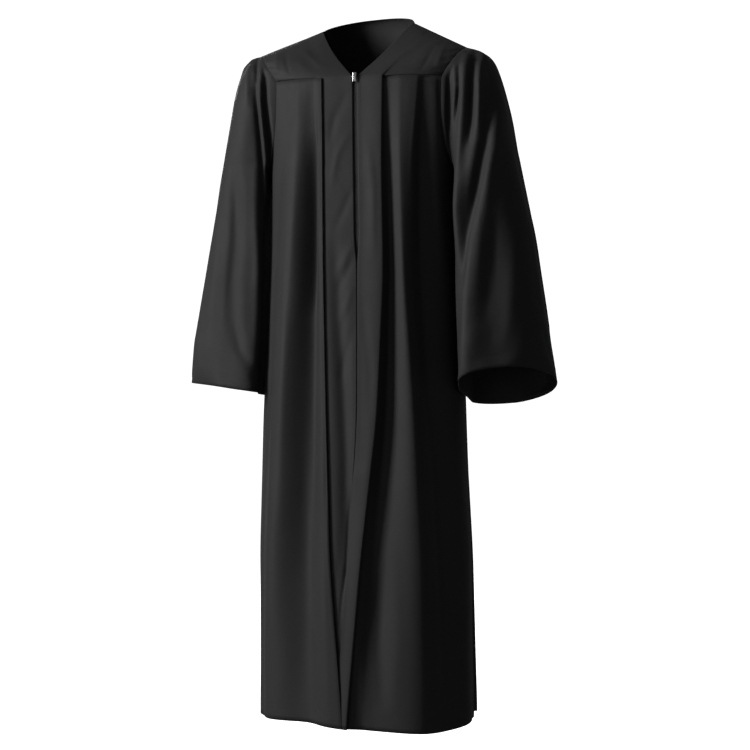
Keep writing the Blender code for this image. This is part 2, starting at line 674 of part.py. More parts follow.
right_heights, right_places, right_lifts = right_band_columns()
right_columns = (right_heights, right_places[::-1], right_lifts[::-1])
right_only = np.linspace(RIGHT_EDGE.place[0] + RETURN, CORNER_RIGHT, 4)[1:]
right_grids = yoke_and_band(-1, right_columns, 0.0, right_only, CORNER_RIGHT, TIP_RIGHT)
left_only = np.linspace(LEFT_EDGE.place[0], CORNER_LEFT, 5)[1:]
left_grids = yoke_and_band(1, left_band_columns(), YOKE_LIFT_LEFT, left_only, CORNER_LEFT, TIP_LEFT, under=2)
right_front = front_panel_right()
left_front = front_panel_left()
back = back_panel()
back_yoke = yoke_back()

add_wall("yoke_front_right", right_grids, cloth["yoke_front_right"])
add_wall("yoke_front_left", left_grids, cloth["yoke_front_left"])
add_wall("yoke_back", [back_yoke], cloth["yoke_back"])
add_wall("front_panel_right", [right_front], cloth["front_panel_right"])
add_wall("front_panel_left", [left_front], cloth["front_panel_left"])
add_wall("back_panel", [back], cloth["back_panel"])

armhole = slice(0, ARMHOLE_ROWS + 1)
right_loop, right_angles = armhole_loop(right_grids[0][:, -1], right_front[armhole, -1],
                                        back[armhole, -1], back_yoke[:, 0])
left_loop, left_angles = armhole_loop(left_grids[0][:, -1], left_front[armhole, -1],
                                      back[armhole, 0], back_yoke[:, -1])
add_wall("sleeve_right", [sleeve(-1, RIGHT_SLEEVE, RIGHT_SLEEVE_FOLDS, right_loop, right_angles)],
         cloth["sleeve_right"], closed=True)
add_wall("sleeve_left", [sleeve(1, LEFT_SLEEVE, LEFT_SLEEVE_FOLDS, left_loop, left_angles)],
         cloth["sleeve_left"], closed=True)

for side, name in ((-1, "zip_tape_right"), (1, "zip_tape_left")):
    add_wall(name, [zip_tape(side)], new_material(name + "_tape", BLACK_TAPE, TAPE_ROUGHNESS), wall=TAPE_WALL)
make_slider(new_material("slider_metal", BRIGHT_METAL, METAL_ROUGHNESS, 1.0))
make_pull(new_material("pull_metal", BRIGHT_METAL, METAL_ROUGHNESS, 1.0))
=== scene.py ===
"""Graduation gown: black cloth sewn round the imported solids, in the same frame.

The wearer faces -Y and the wearer's left is +X. Shapes are worked out in millimetres, and MM turns them into metres.
"""
import math
from collections import namedtuple

import bmesh
import bpy
import numpy as np
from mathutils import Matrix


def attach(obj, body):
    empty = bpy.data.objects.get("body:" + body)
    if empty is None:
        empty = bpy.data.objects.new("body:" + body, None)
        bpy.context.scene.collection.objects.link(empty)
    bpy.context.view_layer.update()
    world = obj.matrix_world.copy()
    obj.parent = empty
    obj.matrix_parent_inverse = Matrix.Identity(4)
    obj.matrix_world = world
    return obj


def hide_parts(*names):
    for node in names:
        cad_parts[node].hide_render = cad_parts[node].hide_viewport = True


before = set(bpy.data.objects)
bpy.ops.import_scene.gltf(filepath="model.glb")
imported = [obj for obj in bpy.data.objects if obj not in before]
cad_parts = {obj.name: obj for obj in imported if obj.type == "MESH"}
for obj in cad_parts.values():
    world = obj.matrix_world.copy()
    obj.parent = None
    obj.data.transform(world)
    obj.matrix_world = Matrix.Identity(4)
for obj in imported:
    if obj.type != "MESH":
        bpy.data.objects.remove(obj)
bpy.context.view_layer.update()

MM = 0.001

# The camera stands level with the middle of the gown and a little to the wearer's left, with a long lens.
camera_data = bpy.data.cameras.new("camera")
camera_data.lens = 90.67
camera_data.sensor_width = 36.0
camera = bpy.data.objects.new("camera", camera_data)
camera.location = (0.7771, -3.3100, -0.625)
camera.rotation_euler = (math.radians(90), 0, math.radians(13))
bpy.context.scene.collection.objects.link(camera)
bpy.context.scene.camera = camera

# A studio: a large soft light from the wearer's right front, weak light from all round, a pale floor below the hem
# and a white dome behind. The floor and the dome send no light on to the cloth, as if black flags stood before them,
# and the plain view transform keeps the black of the cloth as dark as it is lit.
Light = namedtuple("Light", "name place aim width height power")
LIGHTS = (
    Light("key", (-2.72, -2.18, 0.75), (0.0, 0.0, -0.15), 1.0, 2.0, 172),
    Light("fill", (-1.1, -3.2, -1.1), (0.0, 0.0, -0.9), 1.2, 1.2, 12),
    Light("rim", (-1.5, 3.0, 0.7), (0.0, 0.0, -0.5), 1.4, 1.4, 70),
)
SURROUND = (0.10, 0.10, 0.104, 1.0)
FLOOR_HEIGHT = -1.36
FLOOR_HALF = 14.0
FLOOR_GLOW = 1.0
DOME_RADIUS = 13.0
DOME_AROUND = 48
DOME_UP = 24

bpy.context.scene.view_settings.view_transform = "Standard"
world = bpy.data.worlds.new("surround")
world.use_nodes = True
world.node_tree.nodes["Background"].inputs["Color"].default_value = SURROUND
world.node_tree.nodes["Background"].inputs["Strength"].default_value = 1.0
bpy.context.scene.world = world

for light in LIGHTS:
    data = bpy.data.lights.new(light.name, "AREA")
    data.shape = "RECTANGLE"
    data.size = light.width
    data.size_y = light.height
    data.energy = light.power
    lamp = bpy.data.objects.new(light.name, data)
    place = np.array(light.place)
    toward = np.array(light.aim) - place
    lamp.location = place
    turn_z = math.atan2(toward[1], toward[0]) - math.pi / 2
    lamp.rotation_euler = (math.atan2(math.hypot(toward[0], toward[1]), -toward[2]), 0, turn_z)
    bpy.context.scene.collection.objects.link(lamp)


def stage_piece(name, points, faces, glow):
    """Plain pale piece of the studio that shines a little by itself and lights nothing else."""
    mesh = bpy.data.meshes.new(name)
    mesh.from_pydata(points, [], faces)
    paint = bpy.data.materials.new(name)
    paint.use_nodes = True
    shader = paint.node_tree.nodes["Principled BSDF"]
    shader.inputs["Base Color"].default_value = (0.9, 0.9, 0.9, 1.0)
    shader.inputs["Roughness"].default_value = 0.9
    shader.inputs["Emission Color"].default_value = (1.0, 1.0, 1.0, 1.0)
    shader.inputs["Emission Strength"].default_value = glow
    mesh.materials.append(paint)
    piece = bpy.data.objects.new(name, mesh)
    bpy.context.scene.collection.objects.link(piece)
    piece.visible_diffuse = False
    piece.visible_glossy = False
    piece.visible_transmission = False
    return piece


reach = FLOOR_HALF
stage_piece("floor", [(-reach, -reach, FLOOR_HEIGHT), (reach, -reach, FLOOR_HEIGHT), (reach, reach, FLOOR_HEIGHT),
                      (-reach, reach, FLOOR_HEIGHT)], [(0, 1, 2, 3)], FLOOR_GLOW)
ring = np.linspace(0, 2 * math.pi, DOME_AROUND, endpoint=False)
rise = np.linspace(-math.pi / 2, math.pi / 2, DOME_UP + 1)[:, None]
dome_points = np.stack([DOME_RADIUS * np.cos(rise) * np.cos(ring), DOME_RADIUS * np.cos(rise) * np.sin(ring),
                        DOME_RADIUS * np.sin(rise) + 0 * ring], axis=-1).reshape(-1, 3)
r, c = np.mgrid[0:DOME_UP, 0:DOME_AROUND]
after = (c + 1) % DOME_AROUND
dome_faces = np.stack([r * DOME_AROUND + after, r * DOME_AROUND + c, (r + 1) * DOME_AROUND + c,
                       (r + 1) * DOME_AROUND + after], axis=-1).reshape(-1, 4)
dome = stage_piece("dome", dome_points.tolist(), dome_faces.tolist(), 1.0)
dome.visible_shadow = False


# The back: one width of black polyester, gathered into flutes under the back yoke and hanging free to the hem.
# The body's plain form, on which every body piece is laid, is worked out here, with the cloth's weave and wall.
CLOTH_WALL = 1.0
WELD = 0.00001
WEAVE_PITCH = 0.0007
EASE = 60.0
EASE_TAPS = 9
EASE_SPAN = 1.25
YOKE_SEAM = -104.0
BACK_YOKE_SEAM = -132.0
UNDERARM = -270.0
SEAM_GAP = 0.3
SEAM_TUCK = 1.7
SEAM_WIDTH = 6.0
TUCK_LEAST = 0.04
TURN_IN = 0.7
ARMHOLE_ROWS = 26
SKIRT_ROWS = 112
STATIONS = (-104, -250, -450, -700, -950, -1245)
RIGHT_WIDTH = (180, 168, 176, 188, 195, 194)
LEFT_WIDTH = (180, 167, 171, 179, 188, 192)
FRONT_DEPTH = (105, 132, 141, 146, 150, 156)
BACK_DEPTH = (97, 116, 131, 140, 146, 152)
SQUARENESS = (3.0, 2.7, 2.45, 2.35, 2.3, 2.3)
HEM_ANGLES = (-180, -90, -45, -15, 0, 30, 50, 90, 180)
HEM_TAPS = (-10, -5, 0, 5, 10)
HEM_HEIGHTS = (-1236, -1234, -1227, -1228, -1236, -1240, -1244, -1232, -1236)

BACK_FLUTES = 14
BACK_SPREAD = (40, 47, 56, 64, 70, 74)
BACK_LIFT = (3, 5, 7, 8, 9, 10)
BACK_UNEVEN = (1.0, 0.8, 1.25, 0.7, 1.1, 0.9, 1.3, 0.75, 1.05, 0.85, 1.15)
BACK_CORNER = 145.0
BACK_COLUMNS = 7
SIDE_COLUMNS = 14
FLUTE_STEP = 1.0
FLUTE_START = 60.0
FLUTE_SIDE = 6.0
BACK_NET = (9, 26)
BACK_RIPPLE = 0.9
RIPPLE_START = 40.0


def down(values, height):
    """Size at a height: straight between its stations, then averaged over EASE above and below."""
    shifts = np.linspace(-EASE, EASE, EASE_TAPS)
    weights = 0.5 + 0.5 * np.cos(math.pi * shifts / (EASE_SPAN * EASE))
    fall = -np.asarray(STATIONS, dtype=float)
    total = sum(weight * np.interp(shift - np.asarray(height, dtype=float), fall, values)
                for shift, weight in zip(shifts, weights))
    return total / weights.sum()


def body_point(angle, height, lift=0.0):
    """Point on the body: |x / half width| to the power n plus |y / depth| to the power n is 1, moved out by lift.

    The angle is 0 at the centre front, 90 at the wearer's left side and 180 at the centre back.
    """
    power = down(SQUARENESS, height)
    sine = np.sin(np.radians(angle))
    cosine = np.cos(np.radians(angle))
    half = np.where(sine >= 0, down(LEFT_WIDTH, height), down(RIGHT_WIDTH, height))
    depth = np.where(cosine >= 0, down(FRONT_DEPTH, height), down(BACK_DEPTH, height))
    x = half * np.sign(sine) * np.abs(sine) ** (2 / power)
    y = -depth * np.sign(cosine) * np.abs(cosine) ** (2 / power)
    slope_x = np.sign(x) * np.abs(x / half) ** (power - 1) / half
    slope_y = np.sign(y) * np.abs(y / depth) ** (power - 1) / depth
    size = np.hypot(slope_x, slope_y)
    return np.stack([x + lift * slope_x / size, y + lift * slope_y / size, np.broadcast_to(height, x.shape)], axis=-1)


def angle_of(x, height):
    """Angle of the front point that lies x from the centre at a height."""
    half = np.where(np.asarray(x) >= 0, down(LEFT_WIDTH, height), down(RIGHT_WIDTH, height))
    return np.sign(x) * np.degrees(np.arcsin(np.minimum(np.abs(x) / half, 1.0) ** (down(SQUARENESS, height) / 2)))


def hem_height(angle):
    """Height of the hem at an angle, its straight stretches averaged over 10 degrees either side."""
    total = sum(np.interp((angle + shift + 180) % 360 - 180, HEM_ANGLES, HEM_HEIGHTS) for shift in HEM_TAPS)
    return total / len(HEM_TAPS)


def armhole_turn():
    """Quarter turn of the armhole at each of its rows, in radians."""
    return np.linspace(0, math.pi / 2, ARMHOLE_ROWS + 1)


def row_heights(angle, top):
    """Heights of the rows: down the armhole as a quarter oval, then in even steps to the hem."""
    armhole = top + (UNDERARM - top) * np.sin(armhole_turn())
    skirt = UNDERARM + (hem_height(angle) - UNDERARM) * np.arange(1, SKIRT_ROWS + 1) / SKIRT_ROWS
    return np.concatenate([armhole, skirt])


def side_angles(corner, side):
    """Angle of a panel's outer edge at each row: the armhole's quarter oval, then the side seam."""
    armhole = corner + (side - corner) * (1 - np.cos(armhole_turn()))
    return np.concatenate([armhole, np.full(SKIRT_ROWS, float(side))])


def keep_order(angles, side, step):
    """Lines each at least a step inside the next one out, so that a panel narrows evenly at the armhole."""
    ordered = [angles[-1]]
    for angle in reversed(angles[:-1]):
        ordered.append(side * np.minimum(side * angle, side * ordered[-1] - step))
    return ordered[::-1]


def soft_between(places, lifts, counts):
    """Columns between fold lines: a cubic in each space, level at ridges and valleys, that never overshoots."""
    places = np.stack(places, axis=1)
    lifts = np.stack(lifts, axis=1)
    step = np.diff(places, axis=1)
    rise = np.diff(lifts, axis=1) / step
    before, after = rise[:, :-1], rise[:, 1:]
    agree = before * after > 0
    middle = np.where(agree, 2 * before * after / np.where(agree, before + after, 1.0), 0.0)
    slope = np.concatenate([rise[:, :1], middle, rise[:, -1:]], axis=1)
    index = np.concatenate([np.repeat(np.arange(len(counts)), counts), [len(counts) - 1]])
    t = np.concatenate([np.arange(n) / n for n in counts] + [[1.0]])[None, :]
    width = step[:, index]
    place = places[:, index] + t * width
    lift = ((1 + 2 * t) * (1 - t) ** 2 * lifts[:, index] + t * (1 - t) ** 2 * slope[:, index] * width
            + t ** 2 * (3 - 2 * t) * lifts[:, index + 1] - t ** 2 * (1 - t) * slope[:, index + 1] * width)
    return place, lift


def soften(value):
    """Smooth step: 0 below 0, 1 above 1, level at both ends."""
    value = np.clip(value, 0, 1)
    return value * value * (3 - 2 * value)


def ripples(shape, cells, seed, size):
    """Slight unevenness of hanging cloth: seeded random heights on a coarse net, eased between its knots."""
    net = np.random.default_rng(seed).uniform(-size, size, (cells[0] + 2, cells[1] + 2))
    row = np.linspace(0, cells[0], shape[0])
    column = np.linspace(0, cells[1], shape[1])
    low_r = np.floor(row).astype(int)
    low_c = np.floor(column).astype(int)
    share_r = soften(row - low_r)[:, None]
    share_c = soften(column - low_c)[None, :]
    upper = net[np.ix_(low_r, low_c)] * (1 - share_c) + net[np.ix_(low_r, low_c + 1)] * share_c
    lower = net[np.ix_(low_r + 1, low_c)] * (1 - share_c) + net[np.ix_(low_r + 1, low_c + 1)] * share_c
    return upper * (1 - share_r) + lower * share_r


Crease = namedtuple("Crease", "path depth width")
CREASE_FADE = 0.6


def rows_of(kind, *rows):
    """Table whose rows all have the named columns of that kind."""
    return tuple(kind(*row) for row in rows)


def creases(across, along, lines):
    """Lift of soft creases: each is a bell across a bent line of points, fading to nothing towards its two ends."""
    total = 0.0 * (across + along)
    for line in lines:
        path = np.array(line.path, dtype=float)
        sizes = np.linalg.norm(np.diff(path, axis=0), axis=1)
        starts = np.concatenate([[0], np.cumsum(sizes)])
        nearest = np.full(total.shape, np.inf)
        gone = np.zeros(total.shape)
        for first, last, size, start in zip(path[:-1], path[1:], sizes, starts):
            unit = (last - first) / size
            t = np.clip((across - first[0]) * unit[0] + (along - first[1]) * unit[1], 0, size)
            away = np.hypot(across - first[0] - t * unit[0], along - first[1] - t * unit[1])
            closer = away < nearest
            nearest = np.where(closer, away, nearest)
            gone = np.where(closer, start + t, gone)
        ends = np.sin(math.pi * np.clip(gone / starts[-1], 0, 1)) ** CREASE_FADE
        total = total + line.depth * ends * np.exp(-(nearest / line.width) ** 2)
    return total


def hang_to_hem(angle, heights, lift):
    """Grid of body points with the lower rows stretched so that the last one lies on the hem line."""
    top = heights[:, None] + 0.0 * angle
    reach = np.clip((top - UNDERARM) / (heights[-1] - UNDERARM), 0, 1)
    return body_point(angle, top + (hem_height(angle) - heights[-1]) * reach, lift)


def grid_mesh(name, grids, closed=False):
    """Mesh of one or more grids in millimetres, joined where they meet, with a map of the cloth in metres."""
    points, faces, maps = [], [], []
    first = 0
    for grid in grids:
        rows, columns, _ = grid.shape
        wrapped = np.concatenate([grid, grid[:, :1]], axis=1) if closed else grid
        across = np.linalg.norm(np.diff(wrapped, axis=1), axis=2).mean(axis=0)
        along = np.linalg.norm(np.diff(grid, axis=0), axis=2).mean(axis=1)
        map_u = np.concatenate([[0], np.cumsum(across)]) * MM
        map_v = np.concatenate([[0], np.cumsum(along)]) * MM
        r, c = np.mgrid[0:rows - 1, 0:wrapped.shape[1] - 1]
        corner_r = np.stack([r, r + 1, r + 1, r], axis=-1).reshape(-1, 4)
        corner_c = np.stack([c, c, c + 1, c + 1], axis=-1).reshape(-1, 4)
        faces.append(first + corner_r * columns + corner_c % columns)
        maps.append(np.stack([map_u[corner_c], map_v[corner_r]], axis=-1).reshape(-1, 2))
        points.append(grid.reshape(-1, 3) * MM)
        first += rows * columns
    mesh = bpy.data.meshes.new(name)
    mesh.from_pydata(np.concatenate(points).tolist(), [], np.concatenate(faces).tolist())
    mesh.uv_layers.new(name="cloth")
    mesh.uv_layers["cloth"].data.foreach_set("uv", np.concatenate(maps).ravel())
    cage = bmesh.new()
    cage.from_mesh(mesh)
    bmesh.ops.remove_doubles(cage, verts=cage.verts, dist=WELD)
    cage.to_mesh(mesh)
    cage.free()
    mesh.shade_smooth()
    return mesh


class Value:
    """One socket of a material. Arithmetic on it adds Math nodes."""

    def __init__(self, finish, socket):
        self.finish = finish
        self.socket = socket

    def maths(self, operation, first, second):
        return self.finish.node("ShaderNodeMath", {"operation": operation}, {0: first, 1: second})

    def __add__(self, other):
        return self.maths("ADD", self, other)

    def __mul__(self, other):
        return self.maths("MULTIPLY", self, other)

    __radd__ = __add__
    __rmul__ = __mul__

    def wave(self, pitch):
        """Sine of this length, one turn for each pitch."""
        return self.maths("SINE", self * (2 * math.pi / pitch), 0.0)


class Finish:
    """A material being made: node() adds a node of a type, with its settings and its sockets' values or links."""

    def __init__(self, name):
        self.material = bpy.data.materials.new(name)
        self.material.use_nodes = True
        self.shader = self.material.node_tree.nodes["Principled BSDF"]

    def node(self, kind, settings, inputs, output=0):
        node = self.material.node_tree.nodes.new(kind)
        for name, value in settings.items():
            setattr(node, name, value)
        for socket, value in inputs.items():
            self.join(node.inputs[socket], value)
        return Value(self, node.outputs[output])

    def join(self, socket, value):
        if isinstance(value, Value):
            self.material.node_tree.links.new(value.socket, socket)
        else:
            socket.default_value = value

    def noise(self, scale, detail, vector):
        return self.node("ShaderNodeTexNoise", {}, {"Scale": scale, "Detail": detail, "Vector": vector})

    def mix(self, factor, first, second):
        return self.node("ShaderNodeMix", {"data_type": "RGBA"}, {0: factor, 6: first, 7: second}, 2)

    def bump(self, height, distance, strength):
        return self.node("ShaderNodeBump", {}, {"Height": height, "Distance": distance, "Strength": strength})

    def set(self, **values):
        for name, value in values.items():
            self.join(self.shader.inputs[name.replace("_", " ")], value)
        return self.material


def black_cloth(name, shift):
    """Matt black polyester in a fine plain weave: sine of the threads across times sine along, with slubs and nap."""
    finish = Finish(name)
    place = finish.node("ShaderNodeUVMap", {"uv_map": "cloth"}, {})
    moved = finish.node("ShaderNodeVectorMath", {"operation": "ADD"}, {0: place, 1: (shift, 2 * shift, 0)})
    across = finish.node("ShaderNodeSeparateXYZ", {}, {0: moved}, "X")
    along = finish.node("ShaderNodeSeparateXYZ", {}, {0: moved}, "Y")
    threads = across.wave(WEAVE_PITCH) * along.wave(WEAVE_PITCH)
    slubs = finish.noise(900.0, 2.0, moved)
    nap = finish.noise(34.0, 4.0, moved)
    shade = finish.noise(7.0, 3.0, moved)
    tone = finish.mix(shade * 0.6 + nap * 0.4, (0.0150, 0.0150, 0.0156, 1), (0.0235, 0.0232, 0.0238, 1))
    height = threads * 0.5 + slubs * 0.7
    return finish.set(
        Base_Color=tone,
        Roughness=0.62 + nap * 0.16,
        Specular_IOR_Level=0.22,
        Sheen_Weight=0.03,
        Sheen_Roughness=0.4,
        Sheen_Tint=(0.8, 0.82, 0.85, 1),
        Normal=finish.bump(height, 0.00012, 0.5),
    )


def sew_in(name, mesh, material, node, wall=CLOTH_WALL):
    """Cloth piece from a mesh: a wall of even thickness, in its finish, riding on the gown in place of its solid."""
    mesh.materials.append(material)
    piece = bpy.data.objects.new(name, mesh)
    bpy.context.scene.collection.objects.link(piece)
    if wall:
        thickness = piece.modifiers.new("wall", "SOLIDIFY")
        thickness.thickness = wall * MM
        thickness.offset = 0.0
        thickness.use_quality_normals = True
    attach(piece, "gown")
    if node:
        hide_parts(node)
    return piece


def hang_cloth(node, grids, finish, shift, closed=False):
    """Cloth that stands for a solid."""
    name = node + "_cloth"
    piece = sew_in(name, grid_mesh(name, grids, closed), black_cloth(finish, shift), node)


def back_grid():
    """Back panel: flutes that fan out below the yoke, then plainer cloth out to the side seams."""
    corner = 180.0 - float(angle_of(BACK_CORNER, BACK_YOKE_SEAM))
    left = side_angles(corner, 90.0)
    heights = row_heights(180.0, BACK_YOKE_SEAM)
    size = down(BACK_LIFT, heights)
    spread = down(BACK_SPREAD, heights)
    share = np.linspace(-1, 1, 2 * BACK_FLUTES + 1)
    angles = [180.0 + spread * part for part in share]
    lifts = [size * BACK_UNEVEN[i % len(BACK_UNEVEN)] * (1.0 if i % 2 else -1.0) for i in range(len(share))]
    angles = [left] + angles + [360.0 - left]
    lifts = [0 * size] + lifts + [0 * size]
    centre = len(angles) // 2
    angles = keep_order(angles[centre::-1], -1, FLUTE_STEP)[::-1] + keep_order(angles[centre:], 1, FLUTE_STEP)[1:]
    counts = [SIDE_COLUMNS] + [BACK_COLUMNS] * (2 * BACK_FLUTES) + [SIDE_COLUMNS]
    angle, lift = soft_between(angles, lifts, counts)
    lift = lift * soften((BACK_YOKE_SEAM - heights) / FLUTE_START)[:, None]
    lift = lift * soften(np.minimum(angle - left[:, None], 360.0 - left[:, None] - angle) / FLUTE_SIDE)
    free = soften((BACK_YOKE_SEAM - heights) / RIPPLE_START)[:, None]
    lift = lift + ripples(lift.shape, BACK_NET, 11, BACK_RIPPLE) * free
    wrapped = np.where(angle > 180.0, angle - 360.0, angle)
    grid = hang_to_hem(wrapped, heights, lift)
    grid[0, :, 2] -= TURN_IN
    for column in (0, -1):
        grid[ARMHOLE_ROWS:, column, 1] = np.maximum(grid[ARMHOLE_ROWS:, column, 1], SEAM_GAP / 2)
    return grid


def with_allowance(grid, column, share):
    """Grid with one more column past an edge: the seam allowance, turned in behind the piece in front of it."""
    edge = grid[:, column]
    turned = edge - np.stack([np.sign(edge[:, 0]) * SEAM_TUCK * share, SEAM_WIDTH * share, 0 * share], axis=1)
    parts = [turned[:, None], grid] if column == 0 else [grid, turned[:, None]]
    return np.concatenate(parts, axis=1)


back = back_grid()
below_arm = TUCK_LEAST + (1 - TUCK_LEAST) * soften((np.arange(len(back)) - ARMHOLE_ROWS) / 2)
back_sewn = with_allowance(with_allowance(back, 0, below_arm), -1, below_arm)
hang_cloth("back_panel", [back_sewn], "back_cloth", 0.3)


# The fronts: pressed pleats are laid at the yoke seam, and the cloth falls from them in long soft folds to the
# hem. The wearer's right front is folded under along its inner edge and lies over the centre band.
FoldLine = namedtuple("FoldLine", "name place lift")
FRONT_MIDDLE = 12.0
RIGHT_EDGE = FoldLine("right pleat edge", (58, 50, 46, 39, 31, 6), (3.5, 3.6, 4.0, 5.2, 6, 6))
RIGHT_FOLDS = rows_of(
    FoldLine,
    ("crease", (64, 54, 51, 46, 40, 26), (3.5, 3.2, 3, 4, 6, 6)),
    ("valley", (74, 66, 70, 73, 77, 74), (3, -9, -19, -21, -18, -7)),
    ("ridge", (100, 99, 106, 121, 135, 140), (1, 8, 12, 16, 17, 10)),
    ("side valley", (117, 138, 152, 165, 176, 174), (0, 0, -3, -2, -2, -2)),
)
LEFT_EDGE = FoldLine("left band edge", (51, 55, 60, 50, 23, -1), (4.4, 6, 6.6, 6.6, 6.6, 6.6))
LEFT_FOLDS = rows_of(
    FoldLine,
    ("valley", (59, 66, 71, 65, 45, 26), (-1, -6, -12, -17, -16, -9)),
    ("ridge", (84, 86, 91, 107, 118, 121), (3, 7, 9, 10, 10, 8)),
    ("pleat", (110, 101, 101, 118, 134, 140), (3, 5, 5, 4, 4, 4)),
    ("hollow", (122, 120, 124, 138, 152, 162), (-1, -8, -9, -6, -2, -1)),
    ("side ridge", (141, 147, 158, 170, 181, 186), (0, 1, 2, 5, 7, 7)),
)
RETURN = 8.0
FOLD_NOSE = 2.0
RETURN_LIFT = 2.1
HEM_ROOM = 2.2
HEM_CROSSING = -1060.0
HEM_ROOM_EASE = 70.0
CORNER_RIGHT = 148.0
CORNER_LEFT = 150.0
RIGHT_COLUMNS = (8, 20, 26, 22, 20)
LEFT_COLUMNS = (8, 16, 14, 22, 20, 20)
FOLD_STEP = 1.8
FRONT_SIDE = 7.0
FRONT_START = 30.0
FRONT_NET = (11, 9)
FRONT_RIPPLE = 0.8
NOSE_COLUMNS = 7


def front_rows(side):
    """Heights of the front rows, with the hem taken at the middle of that front."""
    return row_heights(side * FRONT_MIDDLE, YOKE_SEAM)


def fold_nose(edge, under, top, side):
    """Cross-section of a folded edge: a half oval from the part turned under, round the edge, to the top."""
    turn = np.linspace(-math.pi / 2, math.pi / 2, NOSE_COLUMNS)
    places = [edge + side * FOLD_NOSE * (1 - math.cos(t)) for t in turn]
    lifts = [0.5 * (under + top) + 0.5 * (top - under) * math.sin(t) for t in turn]
    return places, lifts


def front_fall(lines, heights, side, start, corner, counts):
    """Angles and lifts from a starting line over the fold lines to the panel's outer edge."""
    outer = side_angles(corner, side * 90.0)
    places = [start[0]] + [angle_of(side * down(line.place, heights), heights) for line in lines] + [outer]
    lifts = [start[1]] + [down(line.lift, heights) for line in lines] + [0 * outer]
    angle, lift = soft_between(keep_order(places, side, FOLD_STEP), lifts, counts)
    return angle, lift * soften(np.abs(outer[:, None] - angle) / FRONT_SIDE)


def hang_front(heights, under, under_lifts, angle, lift, first, lines, seed):
    """Front's grid: the columns turned under, then the folds from a first column on, with ripples and creases."""
    across = body_point(angle, heights[:, None] + 0 * angle)[..., 0]
    free = soften((YOKE_SEAM - heights) / FRONT_START)[:, None]
    lift = lift + free * ripples(lift.shape, FRONT_NET, seed, FRONT_RIPPLE)
    lift = lift + free * creases(across, heights[:, None] + 0 * across, lines)
    angle = np.concatenate([under, angle[:, first:]], axis=1)
    lift = np.concatenate([under_lifts, lift[:, first:]], axis=1)
    grid = hang_to_hem(angle, heights, lift)
    grid[0, :, 2] -= TURN_IN
    grid[ARMHOLE_ROWS:, -1, 1] = np.minimum(grid[ARMHOLE_ROWS:, -1, 1], -SEAM_GAP / 2)
    return grid


def front_panel_right():
    """Wearer's right front, from the part turned under at its inner edge to the side seam."""
    heights = front_rows(-1)
    edge = down(RIGHT_EDGE.place, heights)
    top = down(RIGHT_EDGE.lift, heights)
    under = RETURN_LIFT + HEM_ROOM * soften((HEM_CROSSING - heights) / HEM_ROOM_EASE)
    places, lifts = fold_nose(edge, under, top, 1)
    places = [edge + RETURN, edge + 0.5 * (RETURN + FOLD_NOSE)] + places
    lifts = [under] * 2 + lifts
    inner = np.stack([angle_of(-place, heights) for place in places], axis=1)
    corner = float(angle_of(-CORNER_RIGHT, YOKE_SEAM))
    angle, lift = front_fall(RIGHT_FOLDS, heights, -1, (inner[:, -1], top), corner, RIGHT_COLUMNS)
    return hang_front(heights, inner, np.stack(lifts, axis=1), angle, lift, 1, RIGHT_CREASES, 21)


def front_panel_left():
    """Wearer's left front, from its inner edge under the fold of the centre band to the side seam."""
    heights = front_rows(1)
    edge = down(LEFT_EDGE.place, heights)
    corner = float(angle_of(CORNER_LEFT, YOKE_SEAM))
    inner = [angle_of(edge - RETURN, heights), angle_of(edge - 0.5 * RETURN, heights), angle_of(edge, heights)]
    angle, lift = front_fall(LEFT_FOLDS, heights, 1, (inner[-1], 0 * edge), corner, LEFT_COLUMNS)
    under = np.stack(inner[:2], axis=1)
    return hang_front(heights, under, 0 * under, angle, lift, 0, LEFT_CREASES, 22)


RIGHT_CREASES = rows_of(
    Crease,
    (((-66, -205), (-67, -300), (-69, -400), (-70, -520)), -6, 12),
    (((-112, -330), (-115, -620), (-120, -900)), 1.6, 7),
    (((-78, -700), (-70, -950), (-60, -1200)), 2.2, 12),
    (((-150, -420), (-155, -760), (-150, -1100)), -1.8, 9),
)
LEFT_CREASES = rows_of(
    Crease,
    (((133, -690), (139, -755), (147, -930), (153, -1090), (156, -1240)), 3.6, 5),
    (((118, -640), (132, -950), (134, -1150)), -1.6, 6),
    (((20, -1060), (24, -1150), (26, -1235)), 3.0, 12),
    (((52, -960), (54, -1090), (62, -1200)), -3.2, 11),
    (((76, -900), (84, -1080), (78, -1210)), 2.0, 12),
)

right_front = front_panel_right()
left_front = front_panel_left()
hang_cloth("front_panel_right", [right_front], "right_front_cloth", 1.1)
hang_cloth("front_panel_left", [left_front], "left_front_cloth", 1.7)


# The front yokes, each cut in one with the centre band that runs beside the zip to the hem. The left band is
# folded under along its outer edge, and below the zip it laps over the right one.
ZIP_LINE = (1, 9, 14, 15, -1, -22)
ZIP_HALF = 4.0
LAP = 5.0
LAP_LIFT = 2.4
ZIP_END = -804.0
LAP_EASE = 24.0
ZIP_SHUT = -375.0
SHUT_HALF = 0.35
SHUT_EASE = 70.0
NECK_HALF = 82.0
NECK_POINT_RIGHT = -4.0
NECK_POINT_LEFT = 6.0
NECK_BOW = 6.0
NECK_LEAN = 0.8
SHOULDER_DROP = -45.0
SHOULDER_GAP = 0.55
TIP_RIGHT = 190.0
TIP_LEFT = 184.0
YOKE_LIFT_LEFT = 2.0
YOKE_ROWS = 44
BAND_COLUMNS = 22
BAND_NET = (22, 3)
BAND_RIPPLE = 0.35
RIGHT_FADE = 12.0
LEFT_FADE = 14.0
YOKE_NET = (5, 8)
YOKE_RIPPLE = 0.5
YOKE_FADE = 0.12
BAND_SIDE_FADE = 0.06
RIGHT_YOKE_COLUMNS = 34
LEFT_YOKE_COLUMNS = 44
LEFT_UNDER = 6


